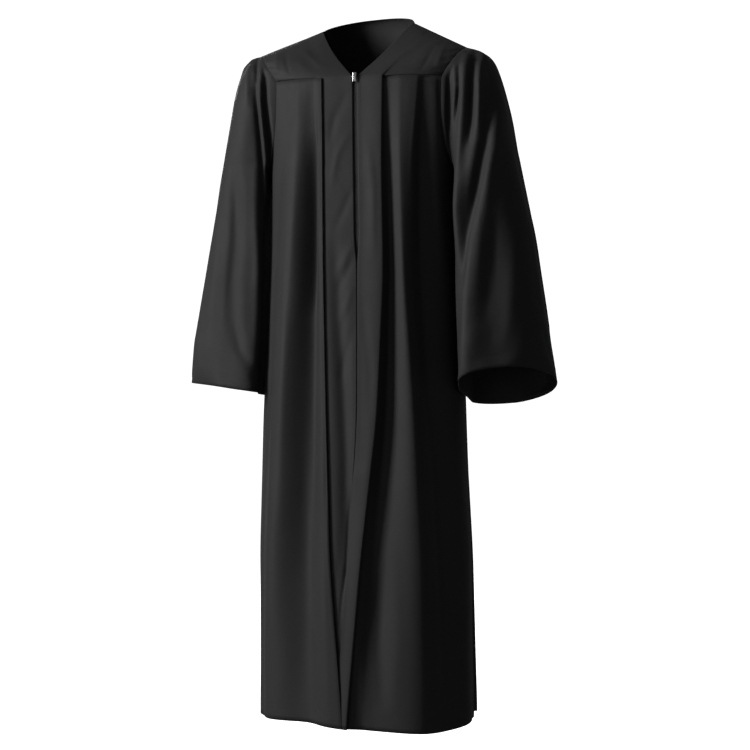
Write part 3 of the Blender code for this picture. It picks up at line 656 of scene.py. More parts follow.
def zip_side(heights, above, below):
    """Distance of a band's edge from the zip line: open at the top, almost shut further down, then the lap's."""
    shut = above * (1 + (SHUT_HALF / ZIP_HALF - 1) * soften((ZIP_SHUT - heights) / SHUT_EASE))
    return shut + (below - shut) * soften((ZIP_END - heights) / LAP_EASE)


def right_band():
    """Angles and lifts of the right band, from the zip to its hidden edge under the pleat."""
    heights = front_rows(-1)
    edge = down(RIGHT_EDGE.place, heights)
    inner = np.minimum(-down(ZIP_LINE, heights) - zip_side(heights, -ZIP_HALF, LAP), edge - LAP)
    share = np.linspace(0, 1, BAND_COLUMNS)
    places = [inner + (edge - inner) * s for s in share] + [edge + 0.5 * RETURN, edge + RETURN]
    place = -np.stack(places, axis=1)
    high = heights[:, None] + 0 * place
    lift = creases(place, high, BAND_CREASES) + ripples(place.shape, BAND_NET, 31, BAND_RIPPLE)
    inside = soften((np.abs(edge)[:, None] + RETURN - np.abs(place)) / RIGHT_FADE)
    return heights, place, lift * inside


def left_band():
    """Angles and lifts of the left band, from the zip over its folded edge to the end of the part turned under."""
    heights = front_rows(1)
    edge = down(LEFT_EDGE.place, heights)
    top = down(LEFT_EDGE.lift, heights)
    inner = down(ZIP_LINE, heights) + zip_side(heights, ZIP_HALF, 0.0)
    lap = LAP_LIFT * soften((ZIP_END + LAP_EASE - heights) / LAP_EASE)
    under = RETURN_LIFT + 0 * top
    places, lifts = fold_nose(edge, under, top, -1)
    places, lifts = places[::-1], lifts[::-1]
    share = np.linspace(0, 1, BAND_COLUMNS)[:-1]
    face = [inner + (edge - FOLD_NOSE - inner) * s for s in share]
    raised = [lap + (top - lap) * soften(s) for s in share]
    place = np.stack(face + places + [edge - 0.5 * (RETURN + FOLD_NOSE), edge - RETURN], axis=1)
    lift = np.stack(raised + lifts + [under, under], axis=1)
    high = heights[:, None] + 0 * place
    extra = creases(place, high, BAND_CREASES) + ripples(place.shape, BAND_NET, 32, BAND_RIPPLE)
    extra[:, len(face):] = 0.0
    fade = soften((edge[:, None] - place) / LEFT_FADE)
    return heights, place, lift + extra * fade


def yoke_front(side, bottoms, bottom_lifts, corner, tip):
    """Front yoke: rows roll from the shoulder seam over the chest, and columns fan from the neck to the armhole."""
    turn = np.linspace(0, math.pi / 2, YOKE_ROWS + 1)[:, None]
    bottoms = np.asarray(bottoms, dtype=float)[None, :]
    across = np.clip((np.abs(bottoms) - ZIP_HALF) / (corner - ZIP_HALF), 0, 1)
    shoulder = NECK_HALF + (tip - NECK_HALF) * across
    drop = 1 - np.cos(turn)
    bow = NECK_BOW * np.sin(math.pi * drop) * (1 - across)
    x = np.abs(bottoms) * drop + shoulder * (1 - drop) + bow
    lean = NECK_LEAN * (1 - across)
    seam = body_point(angle_of(np.abs(bottoms), YOKE_SEAM), YOKE_SEAM)
    raised = body_point(angle_of(np.abs(bottoms), YOKE_SEAM), YOKE_SEAM, np.asarray(bottom_lifts)[None, :])
    forward = (1 - lean) * np.sin(turn) + lean * drop
    y = seam[..., 1] * forward + (raised - seam)[..., 1] * soften(3 * drop - 2) - SHOULDER_GAP * (1 - drop)
    top = NECK_POINT_LEFT if side > 0 else NECK_POINT_RIGHT
    top = top + (SHOULDER_DROP - top) * across
    z = top + (YOKE_SEAM - top) * drop
    grid = np.stack([side * x, y, z], axis=-1)
    puckers = creases(across * corner, -100 * drop, YOKE_PUCKERS) * np.sin(turn)
    puckers = puckers + ripples(puckers.shape, YOKE_NET, 33 + side, YOKE_RIPPLE)
    puckers = puckers * soften(np.minimum(drop, 1 - drop) / YOKE_FADE) * soften(across / BAND_SIDE_FADE)
    grid[..., 1] -= puckers
    grid[..., 2] += 0.5 * puckers
    return grid


def yoke_and_band(side, band, bottom_from, yoke_only, corner, tip, under=0):
    """The L-shaped piece: the yoke's grid and the band's grid, which share the band's top points."""
    heights, place, lift = band
    shared = place.shape[1] - under
    lower = hang_to_hem(angle_of(place, heights[:, None]), heights, lift)
    bottoms = list(np.abs(place[0, :shared])) + list(yoke_only)
    ease_out = 1 - np.arange(1, len(yoke_only) + 1) / len(yoke_only)
    upper = yoke_front(side, bottoms, list(lift[0, :shared]) + list(bottom_from * ease_out), corner, tip)
    upper[-1, :shared] = lower[0, :shared]
    return [upper, lower]


BAND_CREASES = rows_of(
    Crease,
    (((-8, -130), (-32, -175), (-40, -225)), -1.8, 7),
    (((-2, -200), (-24, -240), (-34, -300)), 1.4, 6),
    (((6, -300), (-14, -345), (-30, -375)), -1.5, 6),
    (((8, -395), (-8, -425), (-28, -455)), 1.8, 5),
    (((8, -420), (-6, -450), (-24, -480)), -1.6, 5),
    (((8, -470), (-6, -505), (-22, -535)), 1.6, 6),
    (((8, -540), (-4, -580), (-18, -640)), -1.6, 7),
    (((-27, -380), (-20, -500), (-12, -620), (-5, -760), (-3, -880), (-8, -1000)), -6.5, 12),
    (((28, -210), (40, -300), (42, -420)), 1.5, 8),
    (((-22, -957), (-14, -960), (-1, -966)), -2.6, 2.4),
    (((7, -812), (0, -872), (-4, -960), (-11, -1010), (-15, -1062)), -2.2, 3.2),
    (((26, -500), (38, -620), (36, -700)), -1.2, 8),
)
YOKE_PUCKERS = rows_of(
    Crease,
    (((104, -4), (122, -42), (136, -84)), 1.5, 7),
    (((92, -20), (104, -60), (112, -92)), -1.1, 6),
    (((150, -22), (132, -30)), -1.6, 2.4),
    (((150, -38), (128, -44)), 1.5, 2.6),
    (((150, -52), (130, -58)), -1.6, 2.2),
    (((150, -66), (124, -70)), 1.4, 2.6),
    (((150, -80), (128, -84)), -1.5, 2.4),
    (((150, -93), (122, -94)), 1.3, 2.4),
    (((60, -30), (48, -52), (44, -80)), 1.0, 8),
)

right_heights, right_place, right_lift = right_band()
right_only = np.linspace(right_place[0, -1] * -1, CORNER_RIGHT, RIGHT_YOKE_COLUMNS)[1:]
right_grids = yoke_and_band(-1, (right_heights, right_place, right_lift), 0.0, right_only, CORNER_RIGHT, TIP_RIGHT)
left_only = np.linspace(LEFT_EDGE.place[0], CORNER_LEFT, LEFT_YOKE_COLUMNS)[1:]
left_grids = yoke_and_band(1, left_band(), YOKE_LIFT_LEFT, left_only, CORNER_LEFT, TIP_LEFT, under=LEFT_UNDER)
hang_cloth("yoke_front_right", right_grids, "right_yoke_cloth", 2.3)
hang_cloth("yoke_front_left", left_grids, "left_yoke_cloth", 2.9)


# The back yoke: one plain piece of the same cloth. Its top edge runs along both shoulder seams and round the
# back of the neck, and its inside shows through the open neck.
NECK_BACK = 72.0
NECK_RISE = 27.0
NECK_SHARE = 0.45
YOKE_BACK_COLUMNS = 110
NECK_FADE = 0.04
BACK_YOKE_NET = (4, 12)
BACK_YOKE_RIPPLE = 0.6


def yoke_back():
    """Back yoke: the neck and shoulder line above, the fluted back's seam below, rolled over the shoulder blades."""
    turn = np.linspace(0, math.pi / 2, YOKE_ROWS + 1)[:, None]
    across = np.linspace(-1, 1, YOKE_BACK_COLUMNS + 1)[None, :]
    neck = np.clip(np.abs(across) / NECK_SHARE, 0, 1)
    shoulder = np.clip((np.abs(across) - NECK_SHARE) / (1 - NECK_SHARE), 0, 1)
    tip = np.where(across < 0, TIP_RIGHT, TIP_LEFT)
    top_x = NECK_HALF * np.sin(neck * math.pi / 2) + (tip - NECK_HALF) * shoulder
    top_y = NECK_BACK * np.cos(neck * math.pi / 2) + SHOULDER_GAP
    neck_point = np.where(across < 0, NECK_POINT_RIGHT, NECK_POINT_LEFT) * np.sin(neck * math.pi / 2)
    top_z = neck_point + NECK_RISE * np.cos(neck * math.pi / 2) + (SHOULDER_DROP - neck_point) * shoulder
    low_x = BACK_CORNER * np.abs(across)
    seam = body_point(180.0 - angle_of(low_x, BACK_YOKE_SEAM), BACK_YOKE_SEAM)
    drop = 1 - np.cos(turn)
    x = np.sign(across) * (low_x * drop + top_x * (1 - drop))
    y = top_y + (seam[..., 1] - top_y) * np.sin(turn)
    z = top_z + (BACK_YOKE_SEAM - top_z) * drop
    uneven = ripples(x.shape, BACK_YOKE_NET, 41, BACK_YOKE_RIPPLE) * soften(np.minimum(drop, 1 - drop) / YOKE_FADE)
    return np.stack([x, y + uneven, z], axis=-1)


back_yoke = yoke_back()
# The shoulder seams have an allowance as well, turned in under the front yokes. The neck edge has none.
beside_neck = np.abs(np.linspace(-1, 1, YOKE_BACK_COLUMNS + 1)) - NECK_SHARE
on_shoulder = TUCK_LEAST + (1 - TUCK_LEAST) * soften(beside_neck / NECK_FADE)
turned_in = back_yoke[0] - np.stack([0 * on_shoulder, SEAM_WIDTH * on_shoulder, SEAM_TUCK * on_shoulder], axis=1)
yoke_sewn = np.concatenate([turned_in[None], back_yoke])
hang_cloth("yoke_back", [yoke_sewn], "back_yoke_cloth", 3.7)


# The sleeves: bell sleeves in one piece with an underarm seam, gathered hard into the armhole over the cap.
# Long folds run from the gathers to the wide cuff, which is turned up and stitched.
SleeveRing = namedtuple("SleeveRing", "outer_x outer_y outer_z inner_x inner_y inner_z front back back_drop")
RIGHT_SLEEVE = rows_of(
    SleeveRing,
    (190, 0, -45, 172, 0, -270, 84, 84, 0),
    (221, 0, -58, 177, 0, -286, 88, 88, 0),
    (236, 0, -94, 181, 0, -306, 88, 90, 0),
    (246, 0, -160, 185, 0, -336, 84, 90, 0),
    (259, 0, -235, 187, -4, -376, 80, 88, 2),
    (273, 0, -321, 188, -8, -430, 78, 86, 4),
    (290, 0, -420, 189, -10, -500, 80, 86, 6),
    (307, 0, -520, 190, -12, -574, 84, 88, 8),
    (320, 0, -590, 190, -15, -630, 88, 90, 8),
    (329, 0, -640, 190, -18, -660, 90, 92, 8),
)
LEFT_SLEEVE = rows_of(
    SleeveRing,
    (184, 0, -45, 172, 0, -270, 84, 84, 0),
    (221, 0, -56, 177, 0, -286, 86, 88, 0),
    (239, 0, -90, 177, -10, -306, 86, 90, 0),
    (254, 0, -150, 171, -34, -336, 82, 90, 2),
    (268, 3, -228, 170, -48, -376, 76, 88, 8),
    (284, 6, -322, 171, -58, -430, 74, 86, 18),
    (303, 9, -420, 173, -66, -500, 72, 84, 32),
    (319, 12, -516, 175, -70, -570, 72, 84, 46),
    (331, 15, -586, 177, -72, -620, 74, 86, 58),
    (339, 18, -636, 179, -73, -650, 76, 88, 64),
)
SleeveFold = namedtuple("SleeveFold", "name cap elbow cuff lift_cap lift_elbow lift_cuff width")
RIGHT_SLEEVE_FOLDS = rows_of(
    SleeveFold,
    ("front ridge", 60, 95, 120, 1, 3, 4, 24),
    ("front hollow", 92, 128, 158, -1, -2, -2, 20),
    ("outer hollow", 25, 50, 66, -1, -3, -4, 22),
    ("inner back ridge", 205, 215, 220, 3, 9, 8, 26),
    ("back ridge", 300, 265, 240, 2, 8, 8, 26),
    ("back hollow", 330, 305, 290, -1, -7, -7, 22),
)
LEFT_SLEEVE_FOLDS = rows_of(
    SleeveFold,
    ("front ridge", 45, 100, 156, 1, 2, 4, 20),
    ("front hollow", 76, 132, 180, -1, -3, -2, 20),
    ("outer hollow", 15, 50, 95, -1, -2, -3, 24),
    ("back ridge", 300, 262, 235, 2, 8, 8, 26),
    ("back hollow", 330, 302, 285, -1, -7, -7, 22),
)
# Gathers over the top and back of the cap: place and drift round the ring and half width in degrees, length in rings.
Gather = namedtuple("Gather", "place drift length lift width")
GATHERS = rows_of(
    Gather,
    (-86, -6, 2.6, 3.0, 4.5), (-72, 4, 1.6, 2.6, 3.5), (-60, -5, 3.4, 3.6, 5.0),
    (-46, 3, 2.2, 2.6, 3.5), (-33, -4, 3.8, 3.4, 4.5), (-20, 2, 1.8, 2.4, 3.2),
    (-8, -3, 2.8, 3.0, 4.2), (5, 3, 2.0, 2.6, 3.4), (17, 4, 3.2, 3.0, 4.6),
)
# Folds on the front of each sleeve, as lines of distance from the centre and height. The back has lower ones like them.
RIGHT_SLEEVE_CREASES = rows_of(
    Crease,
    (((170, -72), (169, -134), (165, -170), (160, -206), (158, -255)), -10, 5),
    (((179, -70), (177, -134), (173, -190), (169, -240), (168, -300)), 6, 5),
    (((186, -90), (184, -134), (179, -180), (176, -215), (173, -262), (172, -340)), -9, 5.5),
    (((194, -54), (188, -80), (183, -104)), -5, 3.5),
    (((204, -56), (205, -90), (200, -150)), 4, 6),
    (((226, -72), (229, -100), (233, -132)), -4, 4.5),
    (((212, -120), (208, -190), (202, -320), (198, -440)), 3, 14),
    (((224, -240), (222, -384), (228, -460), (225, -530), (211, -579), (180, -632)), -6, 10),
    (((262, -330), (266, -450), (276, -600)), 3, 12),
    (((187, -250), (184, -330), (181, -420), (181, -520), (184, -610)), 7.5, 9),
)
LEFT_SLEEVE_CREASES = rows_of(
    Crease,
    (((152, -100), (156, -140), (160, -170)), 2, 4),
    (((160, -78), (162, -140), (164, -200), (166, -250)), -12, 7),
    (((172, -80), (176, -120), (172, -168), (167, -215)), 4, 4),
    (((180, -84), (180, -140), (175, -190)), -6.5, 4),
    (((191, -58), (188, -110), (188, -160), (186, -210), (185, -279), (184, -340), (183, -400), (182, -460)), 9, 8),
    (((203, -52), (204, -120), (203, -185), (201, -230)), -9, 6),
    (((217, -58), (216, -116), (217, -150), (217, -205)), 4, 5),
    (((233, -60), (234, -150), (229, -219), (220, -271), (211, -323), (197, -392), (186, -480)), -13, 10),
    (((250, -80), (253, -150), (247, -228), (238, -271), (231, -323), (225, -392), (217, -500)), 7, 11),
    (((248, -350), (245, -400), (240, -461), (230, -540)), -3.5, 10),
    (((262, -230), (276, -340), (284, -461), (290, -560), (300, -760)), 12, 34),
    (((282, -350), (276, -461), (272, -530), (258, -590)), 4, 13),
    (((300, -400), (310, -500), (322, -600)), -2, 8),
    (((318, -540), (330, -590), (342, -634)), -3, 4),
    (((214, -540), (206, -600), (200, -655)), 3, 12),
)
BACK_SHARE = 0.7
SLEEVE_ROWS = 118
HALF_RING = 90
CAP_BLEND = 4.0
SLEEVE_GAP = 0.9
UNDERARM_GAP = 2.6
SLEEVE_ROOM = 9.0
FOLD_START = 2.0
ROOM_START = 3.0
ROW_TAPS = (-0.4, -0.2, 0, 0.2, 0.4)
SLEEVE_NET = (12, 20)
SLEEVE_RIPPLE = 0.8
GATHER_START = 0.45
GATHER_SPREAD = 0.9
GATHER_DIP = 0.55
FACING_FROM = 0.05
FACING_EASE = 0.3
CREASE_START = 0.3
OVERHANG_START = 0.6
SQUARE_SHARE = (0, 0.25, 0.5, 0.85, 1)
SQUARE_OUTER = (2, 2.6, 3.3, 3.0, 1.7)
SQUARE_INNER = (2, 3.0, 3.8, 3.8, 3.0)
Overhang = namedtuple("Overhang", "turn spread place length inward forward")
OVERHANG = Overhang(138, 26, 2.4, 1.5, 9, 14)


def along_path(points, count):
    """Points spaced evenly by length along a bent line."""
    length = np.concatenate([[0], np.cumsum(np.linalg.norm(np.diff(points, axis=0), axis=1))])
    place = np.linspace(0, length[-1], count + 1)
    return np.stack([np.interp(place, length, points[:, axis]) for axis in range(3)], axis=1)


def armhole_loop(front_yoke, front, back_edge, back_yoke_edge):
    """Armhole as one even loop from the shoulder tip down the front to the underarm and up the back."""
    front_half = along_path(np.concatenate([front_yoke, front[1:]]), HALF_RING)
    back_half = along_path(np.concatenate([back_yoke_edge, back_edge[1:]]), HALF_RING)
    return np.concatenate([front_half, back_half[-2:0:-1]])


def sleeve(side, rings, folds, front_lines, overhang, lean, loop, seed):
    """Bell sleeve: ovals turn from the armhole to the cuff, with gathers at the cap and long folds down the arm."""
    table = np.array([tuple(ring) for ring in rings], dtype=float)
    place = np.linspace(0, len(rings) - 1, SLEEVE_ROWS + 1)
    taps = [np.stack([np.interp(place + shift, np.arange(len(rings)), column) for column in table.T], axis=1)
            for shift in ROW_TAPS]
    row = np.mean(taps, axis=0)
    row[0], row[-1] = table[0], table[-1]
    row = row[:, None, :]
    outer, inner = row[..., 0:3], row[..., 3:6]
    front, back_depth, back_drop = row[..., 6], row[..., 7], row[..., 8]
    turn = np.linspace(0, 2 * math.pi, 2 * HALF_RING, endpoint=False)[None, :]
    reach = 0.5 * (outer - inner)
    along = reach / np.linalg.norm(reach, axis=-1, keepdims=True)
    share = place[:, None] / (len(rings) - 1)
    degrees = np.degrees(turn)
    inward = np.cos(turn) < 0
    power = np.where(inward, np.interp(share, SQUARE_SHARE, SQUARE_INNER), np.interp(share, SQUARE_SHARE, SQUARE_OUTER))
    cosine = np.sign(np.cos(turn)) * np.abs(np.cos(turn)) ** (2 / power)
    sine = np.sign(np.sin(turn)) * np.abs(np.sin(turn)) ** (2 / power)
    ring = 0.5 * (outer + inner) + reach * cosine[..., None]
    ring[..., 1] -= np.where(sine >= 0, front, back_depth) * sine
    ring[..., 2] += 0.5 * back_drop * sine
    held = loop * np.array([side, 1, 1])
    held[:, 0] += SLEEVE_GAP + (UNDERARM_GAP - SLEEVE_GAP) * np.clip(-np.cos(turn[0]), 0, 1) ** 2
    blend = np.clip(1 - place / CAP_BLEND, 0, 1)[:, None, None] ** 2
    grid = ring + (held[None] - ring[0:1]) * blend
    grid[..., 0] -= lean * np.clip(sine, 0, 1) * 0.5 * (1 - cosine) * soften(place[:, None] / ROOM_START)

    lift = ripples((len(place), 2 * HALF_RING), SLEEVE_NET, seed, SLEEVE_RIPPLE)
    for fold in folds:
        centre = np.interp(share, (0, 0.5, 1), (fold.cap, fold.elbow, fold.cuff))
        size = np.interp(share, (0, 0.5, 1), (fold.lift_cap, fold.lift_elbow, fold.lift_cuff))
        away = (degrees - centre + 180.0) % 360.0 - 180.0
        lift = lift + size * np.exp(-(away / fold.width) ** 2)
    lift = lift * soften(place[:, None] / FOLD_START)
    for gather in GATHERS:
        gone = place[:, None] / gather.length
        away = (degrees - gather.place - gather.drift * gone + 180.0) % 360.0 - 180.0
        width = gather.width * (1 + GATHER_SPREAD * np.clip(gone, 0, 1))
        fade = soften(place[:, None] / GATHER_START) * (1 - soften(gone))
        bell = np.exp(-(away / width) ** 2) - GATHER_DIP * np.exp(-((np.abs(away) - 2 * width) / width) ** 2)
        lift = lift + gather.lift * fade * bell
    facing = soften((np.abs(np.sin(turn)) - FACING_FROM) / FACING_EASE) * np.where(np.sin(turn) >= 0, 1.0, BACK_SHARE)
    lift = lift + creases(grid[..., 0], grid[..., 2], front_lines) * facing * soften(place[:, None] / CREASE_START)
    round_off = (degrees - OVERHANG.turn) / OVERHANG.spread
    down_off = (place[:, None] - OVERHANG.place) / OVERHANG.length
    bulge = overhang * np.exp(-(round_off ** 2 + down_off ** 2)) * soften(place[:, None] / OVERHANG_START)
    grid[..., 0] -= OVERHANG.inward * bulge
    grid[..., 1] -= OVERHANG.forward * bulge
    grid += lift[..., None] * along * np.cos(turn)[..., None]
    grid[..., 1] -= lift * np.sin(turn)
    grid = keep_off_body(grid, place, side)
    centre = grid[0].mean(axis=0)
    inward = (centre - grid[0]) * np.array([0, 1, 1])
    inward = inward / np.linalg.norm(inward, axis=-1, keepdims=True)
    turned_in = grid[0] + SEAM_TUCK * inward - np.array([SEAM_WIDTH, 0, 0])
    return np.concatenate([turned_in[None], grid]) * np.array([side, 1, 1])


def keep_off_body(grid, place, side):
    """Sleeve points that come too near the body's side are moved out, more so further down."""
    height = np.minimum(grid[..., 2], UNDERARM)
    half = down(LEFT_WIDTH if side > 0 else RIGHT_WIDTH, height)
    depth = np.where(grid[..., 1] < 0, down(FRONT_DEPTH, height), down(BACK_DEPTH, height))
    power = down(SQUARENESS, height)
    level = ((np.abs(grid[..., 0]) / half) ** power + (np.abs(grid[..., 1]) / depth) ** power) ** (1 / power)
    wanted = 1 + (np.clip(place[:, None] / ROOM_START, 0, 1) * SLEEVE_ROOM + UNDERARM_GAP) / half
    near = (grid[..., 2] < UNDERARM + 1.5) & (level < wanted)
    moved = grid.copy()
    moved[..., 0] += np.where(near, (wanted - level) * half, 0.0)
    return moved


armhole = slice(0, ARMHOLE_ROWS + 1)
sleeve_grids = {}
right_loop = armhole_loop(right_grids[0][:, -1], right_front[armhole, -1], back[armhole, -1], back_yoke[:, 0])
left_loop = armhole_loop(left_grids[0][:, -1], left_front[armhole, -1], back[armhole, 0], back_yoke[:, -1])
for name, side, rings, folds, lines, overhang, lean, loop in (
        ("sleeve_right", -1, RIGHT_SLEEVE, RIGHT_SLEEVE_FOLDS, RIGHT_SLEEVE_CREASES, 0.25, 24.0, right_loop),
        ("sleeve_left", 1, LEFT_SLEEVE, LEFT_SLEEVE_FOLDS, LEFT_SLEEVE_CREASES, 1.0, -14.0, left_loop)):
    shape = sleeve(side, rings, folds, lines, overhang, lean, loop, 50 + side)
    sleeve_grids[name] = shape
    hang_cloth(name, [shape], name + "_black", 4.3 + side, closed=True)


# The zip: two woven tapes sewn behind the band edges, with a chain of moulded nylon teeth between them. The
# slider stays at the bottom of the V, and its bright metal pull hangs from it.
TAPE_HALF = 0.25
TAPE_WIDTH = 12.0
TAPE_TAIL = 14.0
TAPE_TOP = 1.0
TAPE_ROWS = 160
TAPE_COLUMNS = 7
TEETH_TOP = 7.0
TEETH_END = 2.0
TAPE_LIFT = -2.5
TAPE_WALL = 0.6
TEETH_LIFT = -1.75
TOOTH_PITCH = 1.35
TOOTH_REACH = 1.7
TOOTH_CROSS = 0.45
TOOTH_RADIUS = 0.42
THREAD_RADIUS = 0.22
STITCH_PITCH = 3.0
STITCH_LENGTH = 2.3
THREAD_RAISE = 0.55
ROD_SIDES = 5
ROD_TILT = (0.31, 0.87, 0.38)
ROD_SHARES = (0.0, 0.12, 0.88, 1.0)
ROD_SIZES = (0.35, 1.0, 1.0, 0.35)


def rods(name, starts, ends, radius):
    """Mesh of short round rods from starts to ends: rings of points about each line, smaller at its two ends."""
    axis = ends - starts
    axis = axis / np.linalg.norm(axis, axis=1, keepdims=True)
    side = np.cross(axis, np.array(ROD_TILT))
    side = side / np.linalg.norm(side, axis=1, keepdims=True)
    other = np.cross(axis, side)
    turn = np.linspace(0, 2 * math.pi, ROD_SIDES, endpoint=False)
    round_off = side[:, None] * np.cos(turn)[None, :, None] + other[:, None] * np.sin(turn)[None, :, None]
    share = np.array(ROD_SHARES)[None, :, None, None]
    size = np.array(ROD_SIZES)[None, :, None, None]
    points = (starts[:, None, None] * (1 - share) + ends[:, None, None] * share + radius * size * round_off[:, None])
    count, stations = len(starts), len(ROD_SHARES)
    r, c = np.mgrid[0:stations - 1, 0:ROD_SIDES]
    after = (c + 1) % ROD_SIDES
    skin = np.stack([r * ROD_SIDES + c, r * ROD_SIDES + after, (r + 1) * ROD_SIDES + after,
                     (r + 1) * ROD_SIDES + c], axis=-1).reshape(-1, 4)
    first = np.arange(count)[:, None, None] * stations * ROD_SIDES
    near = np.arange(ROD_SIDES)[::-1]
    far = (stations - 1) * ROD_SIDES + np.arange(ROD_SIDES)
    faces = (first + skin).reshape(-1, 4).tolist() + (first[:, 0] + near).tolist() + (first[:, 0] + far).tolist()
    mesh = bpy.data.meshes.new(name)
    mesh.from_pydata((points.reshape(-1, 3) * MM).tolist(), [], faces)
    mesh.shade_smooth()
    return mesh


def raised(grid, amount, centre_x=0.0):
    """Grid moved out along its own normals, away from the line x = centre_x, y = 0."""
    normal = np.cross(np.gradient(grid, axis=0), np.gradient(grid, axis=1))
    normal = normal / np.maximum(np.linalg.norm(normal, axis=-1, keepdims=True), 1e-9)
    out = grid - np.array([centre_x, 0.0, 0.0])
    facing = np.sign(normal[..., 0] * out[..., 0] + normal[..., 1] * out[..., 1])
    return grid + amount * normal * np.where(facing < 0, -1.0, 1.0)[..., None]


def line_in(grid, distance):
    """One point in each row of a grid, that distance from the row's first point along the cloth."""
    gone = np.cumsum(np.linalg.norm(np.diff(grid, axis=1), axis=2), axis=1)
    gone = np.concatenate([0 * gone[:, :1], gone], axis=1)
    index = np.clip((gone < distance).sum(axis=1) - 1, 0, grid.shape[1] - 2)
    row = np.arange(grid.shape[0])
    start, end = gone[row, index], gone[row, index + 1]
    share = ((distance - start) / np.maximum(end - start, 1e-9))[:, None]
    return grid[row, index] * (1 - share) + grid[row, index + 1] * share


def upward(grid):
    """Grid turned so that each of its rows runs from the bottom edge up."""
    return grid.transpose(1, 0, 2)[:, ::-1]


def stitched(name, lines, material):
    """Rows of sewing along lines of points: a short thread for each stitch, with gaps between them."""
    starts, ends = [], []
    for line in lines:
        gone = np.concatenate([[0], np.cumsum(np.linalg.norm(np.diff(line, axis=0), axis=1))])
        begin = np.arange(0.5 * STITCH_PITCH, gone[-1] - STITCH_PITCH, STITCH_PITCH)
        for places, store in ((begin, starts), (begin + STITCH_LENGTH, ends)):
            store.append(np.stack([np.interp(places, gone, line[:, axis]) for axis in range(3)], axis=1))
    mesh = rods(name, np.concatenate(starts), np.concatenate(ends), THREAD_RADIUS)
    return sew_in(name, mesh, material, None, wall=0)


def zip_tape_grid(side):
    """One tape, from the middle of the zip out under its band, down to the zip's end."""
    heights = np.linspace(YOKE_SEAM - TAPE_TOP, ZIP_END - TAPE_TAIL, TAPE_ROWS)
    middle = down(ZIP_LINE, heights)
    place = middle[:, None] + side * (TAPE_HALF + TAPE_WIDTH * np.linspace(0, 1, TAPE_COLUMNS)[None, :])
    high = heights[:, None] + 0 * place
    return body_point(angle_of(place, high), high, TAPE_LIFT + creases(place, high, BAND_CREASES))


def zip_tape_finish(name):
    """Black woven tape: narrow cords across times fine threads along, a little smoother than the cloth."""
    finish = Finish(name)
    place = finish.node("ShaderNodeUVMap", {"uv_map": "cloth"}, {})
    across = finish.node("ShaderNodeSeparateXYZ", {}, {0: place}, "X")
    along = finish.node("ShaderNodeSeparateXYZ", {}, {0: place}, "Y")
    cords = across.wave(0.0011) * 0.6 + along.wave(0.0005) * 0.4
    wear = finish.noise(160.0, 3.0, place)
    return finish.set(
        Base_Color=finish.mix(wear, (0.010, 0.010, 0.011, 1), (0.019, 0.019, 0.020, 1)),
        Roughness=0.58 + wear * 0.14,
        Specular_IOR_Level=0.3,
        Normal=finish.bump(cords, 0.00012, 0.6),
    )


def nylon(name, dark, light, gloss):
    """Black moulded nylon or sewing thread: dark, with a low gloss that varies a little from place to place."""
    finish = Finish(name)
    place = finish.node("ShaderNodeTexCoord", {}, {}, "Object")
    wear = finish.noise(240.0, 3.0, place)
    return finish.set(
        Base_Color=finish.mix(wear, dark, light),
        Roughness=gloss + wear * 0.2,
        Normal=finish.bump(finish.noise(2600.0, 2.0, place), 0.00004, 0.4),
    )


def bright_metal(name):
    """Plated zinc: bright, with fine rubbing marks that change its gloss and a faint darkening in patches."""
    finish = Finish(name)
    place = finish.node("ShaderNodeTexCoord", {}, {}, "Object")
    stretched = finish.node("ShaderNodeVectorMath", {"operation": "MULTIPLY"}, {0: place, 1: (1.0, 1.0, 0.12)})
    marks = finish.noise(5200.0, 4.0, stretched)
    patches = finish.noise(420.0, 3.0, place)
    return finish.set(
        Base_Color=finish.mix(patches, (0.60, 0.60, 0.62, 1), (0.82, 0.82, 0.83, 1)),
        Metallic=1.0,
        Roughness=0.18 + marks * 0.16,
        Normal=finish.bump(marks, 0.00003, 0.35),
    )


for name, side in (("zip_tape_right", -1), ("zip_tape_left", 1)):
    woven = name + "_woven"
    tape = sew_in(woven, grid_mesh(woven, [zip_tape_grid(side)]), zip_tape_finish(woven), name, TAPE_WALL)

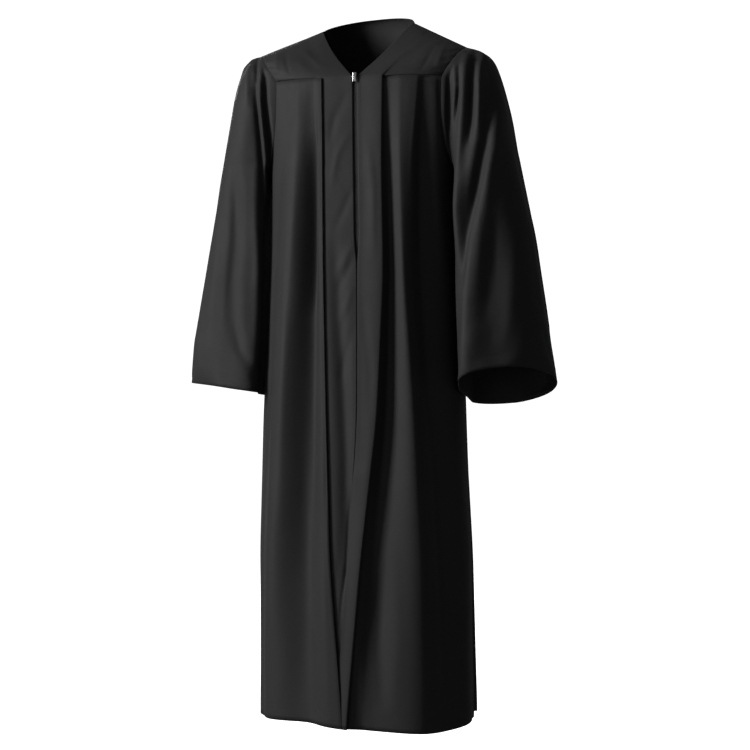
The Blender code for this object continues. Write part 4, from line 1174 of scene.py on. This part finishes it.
tooth_heights = np.arange(YOKE_SEAM - TEETH_TOP, ZIP_END + TEETH_END, -TOOTH_PITCH)
tooth_side = np.where(np.arange(len(tooth_heights)) % 2, 1.0, -1.0)
zip_middle = down(ZIP_LINE, tooth_heights)
tooth_lift = TEETH_LIFT + creases(zip_middle, tooth_heights, BAND_CREASES)
tooth_ends = [body_point(angle_of(zip_middle + tooth_side * reach, tooth_heights), tooth_heights, tooth_lift)
              for reach in (-TOOTH_CROSS, TOOTH_REACH)]
teeth_finish = nylon("black_nylon", (0.014, 0.014, 0.015, 1), (0.034, 0.034, 0.036, 1), 0.40)
teeth = rods("zip_teeth", tooth_ends[0], tooth_ends[1], TOOTH_RADIUS)
sew_in("zip_teeth", teeth, teeth_finish, None, wall=0)

metal = bright_metal("bright_plating")
for name in ("zip_slider", "pull_tab"):
    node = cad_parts[name]
    node.data.materials.clear()
    node.data.materials.append(metal)


# The sewing: black thread in lockstitch. It runs beside the zip on both bands, just above the yoke seams, and
# where the hem and the cuffs are turned up.
ZIP_STITCH = 6.0
YOKE_STITCH = 3.0
HEM_STITCH = 26.0
CUFF_STITCH = 24.0
STITCH_TOP = YOKE_SEAM - 9.0
RIGHT_HIDDEN = 9
LEFT_HIDDEN = 12
BAND_HIDDEN = 8

thread = nylon("black_thread", (0.008, 0.008, 0.009, 1), (0.018, 0.018, 0.019, 1), 0.62)
right_face = raised(right_grids[1], THREAD_RAISE)
left_face = raised(left_grids[1], THREAD_RAISE)
beside_zip = []
for face in (right_face, left_face):
    line = line_in(face, ZIP_STITCH)
    beside_zip.append(line[(line[:, 2] < STITCH_TOP) & (line[:, 2] > ZIP_END)])
stitched("zip_stitching", beside_zip, thread)

right_yoke_edge = raised(right_grids[0], THREAD_RAISE)[:, right_place.shape[1] - 2:]
left_yoke_edge = raised(left_grids[0], THREAD_RAISE)[:, left_grids[1].shape[1] - LEFT_UNDER:]
stitched("yoke_stitching", [line_in(upward(right_yoke_edge), YOKE_STITCH), line_in(upward(left_yoke_edge), YOKE_STITCH),
                            line_in(upward(raised(back_yoke, THREAD_RAISE)), YOKE_STITCH)], thread)

hem_lines = [line_in(upward(raised(grid, THREAD_RAISE)), HEM_STITCH)
             for grid in (back, right_front[:, RIGHT_HIDDEN:], left_front[:, LEFT_HIDDEN:], right_grids[1],
                          left_grids[1][:, :-BAND_HIDDEN])]
stitched("hem_stitching", hem_lines, thread)

for name, shape in sleeve_grids.items():
    middle_x = float(shape[-1, :, 0].mean())
    around = line_in(upward(raised(shape, THREAD_RAISE, middle_x)), CUFF_STITCH)
    stitched("cuff_stitching" + name[6:], [np.concatenate([around, around[:1]])], thread)


bpy.context.view_layer.update()
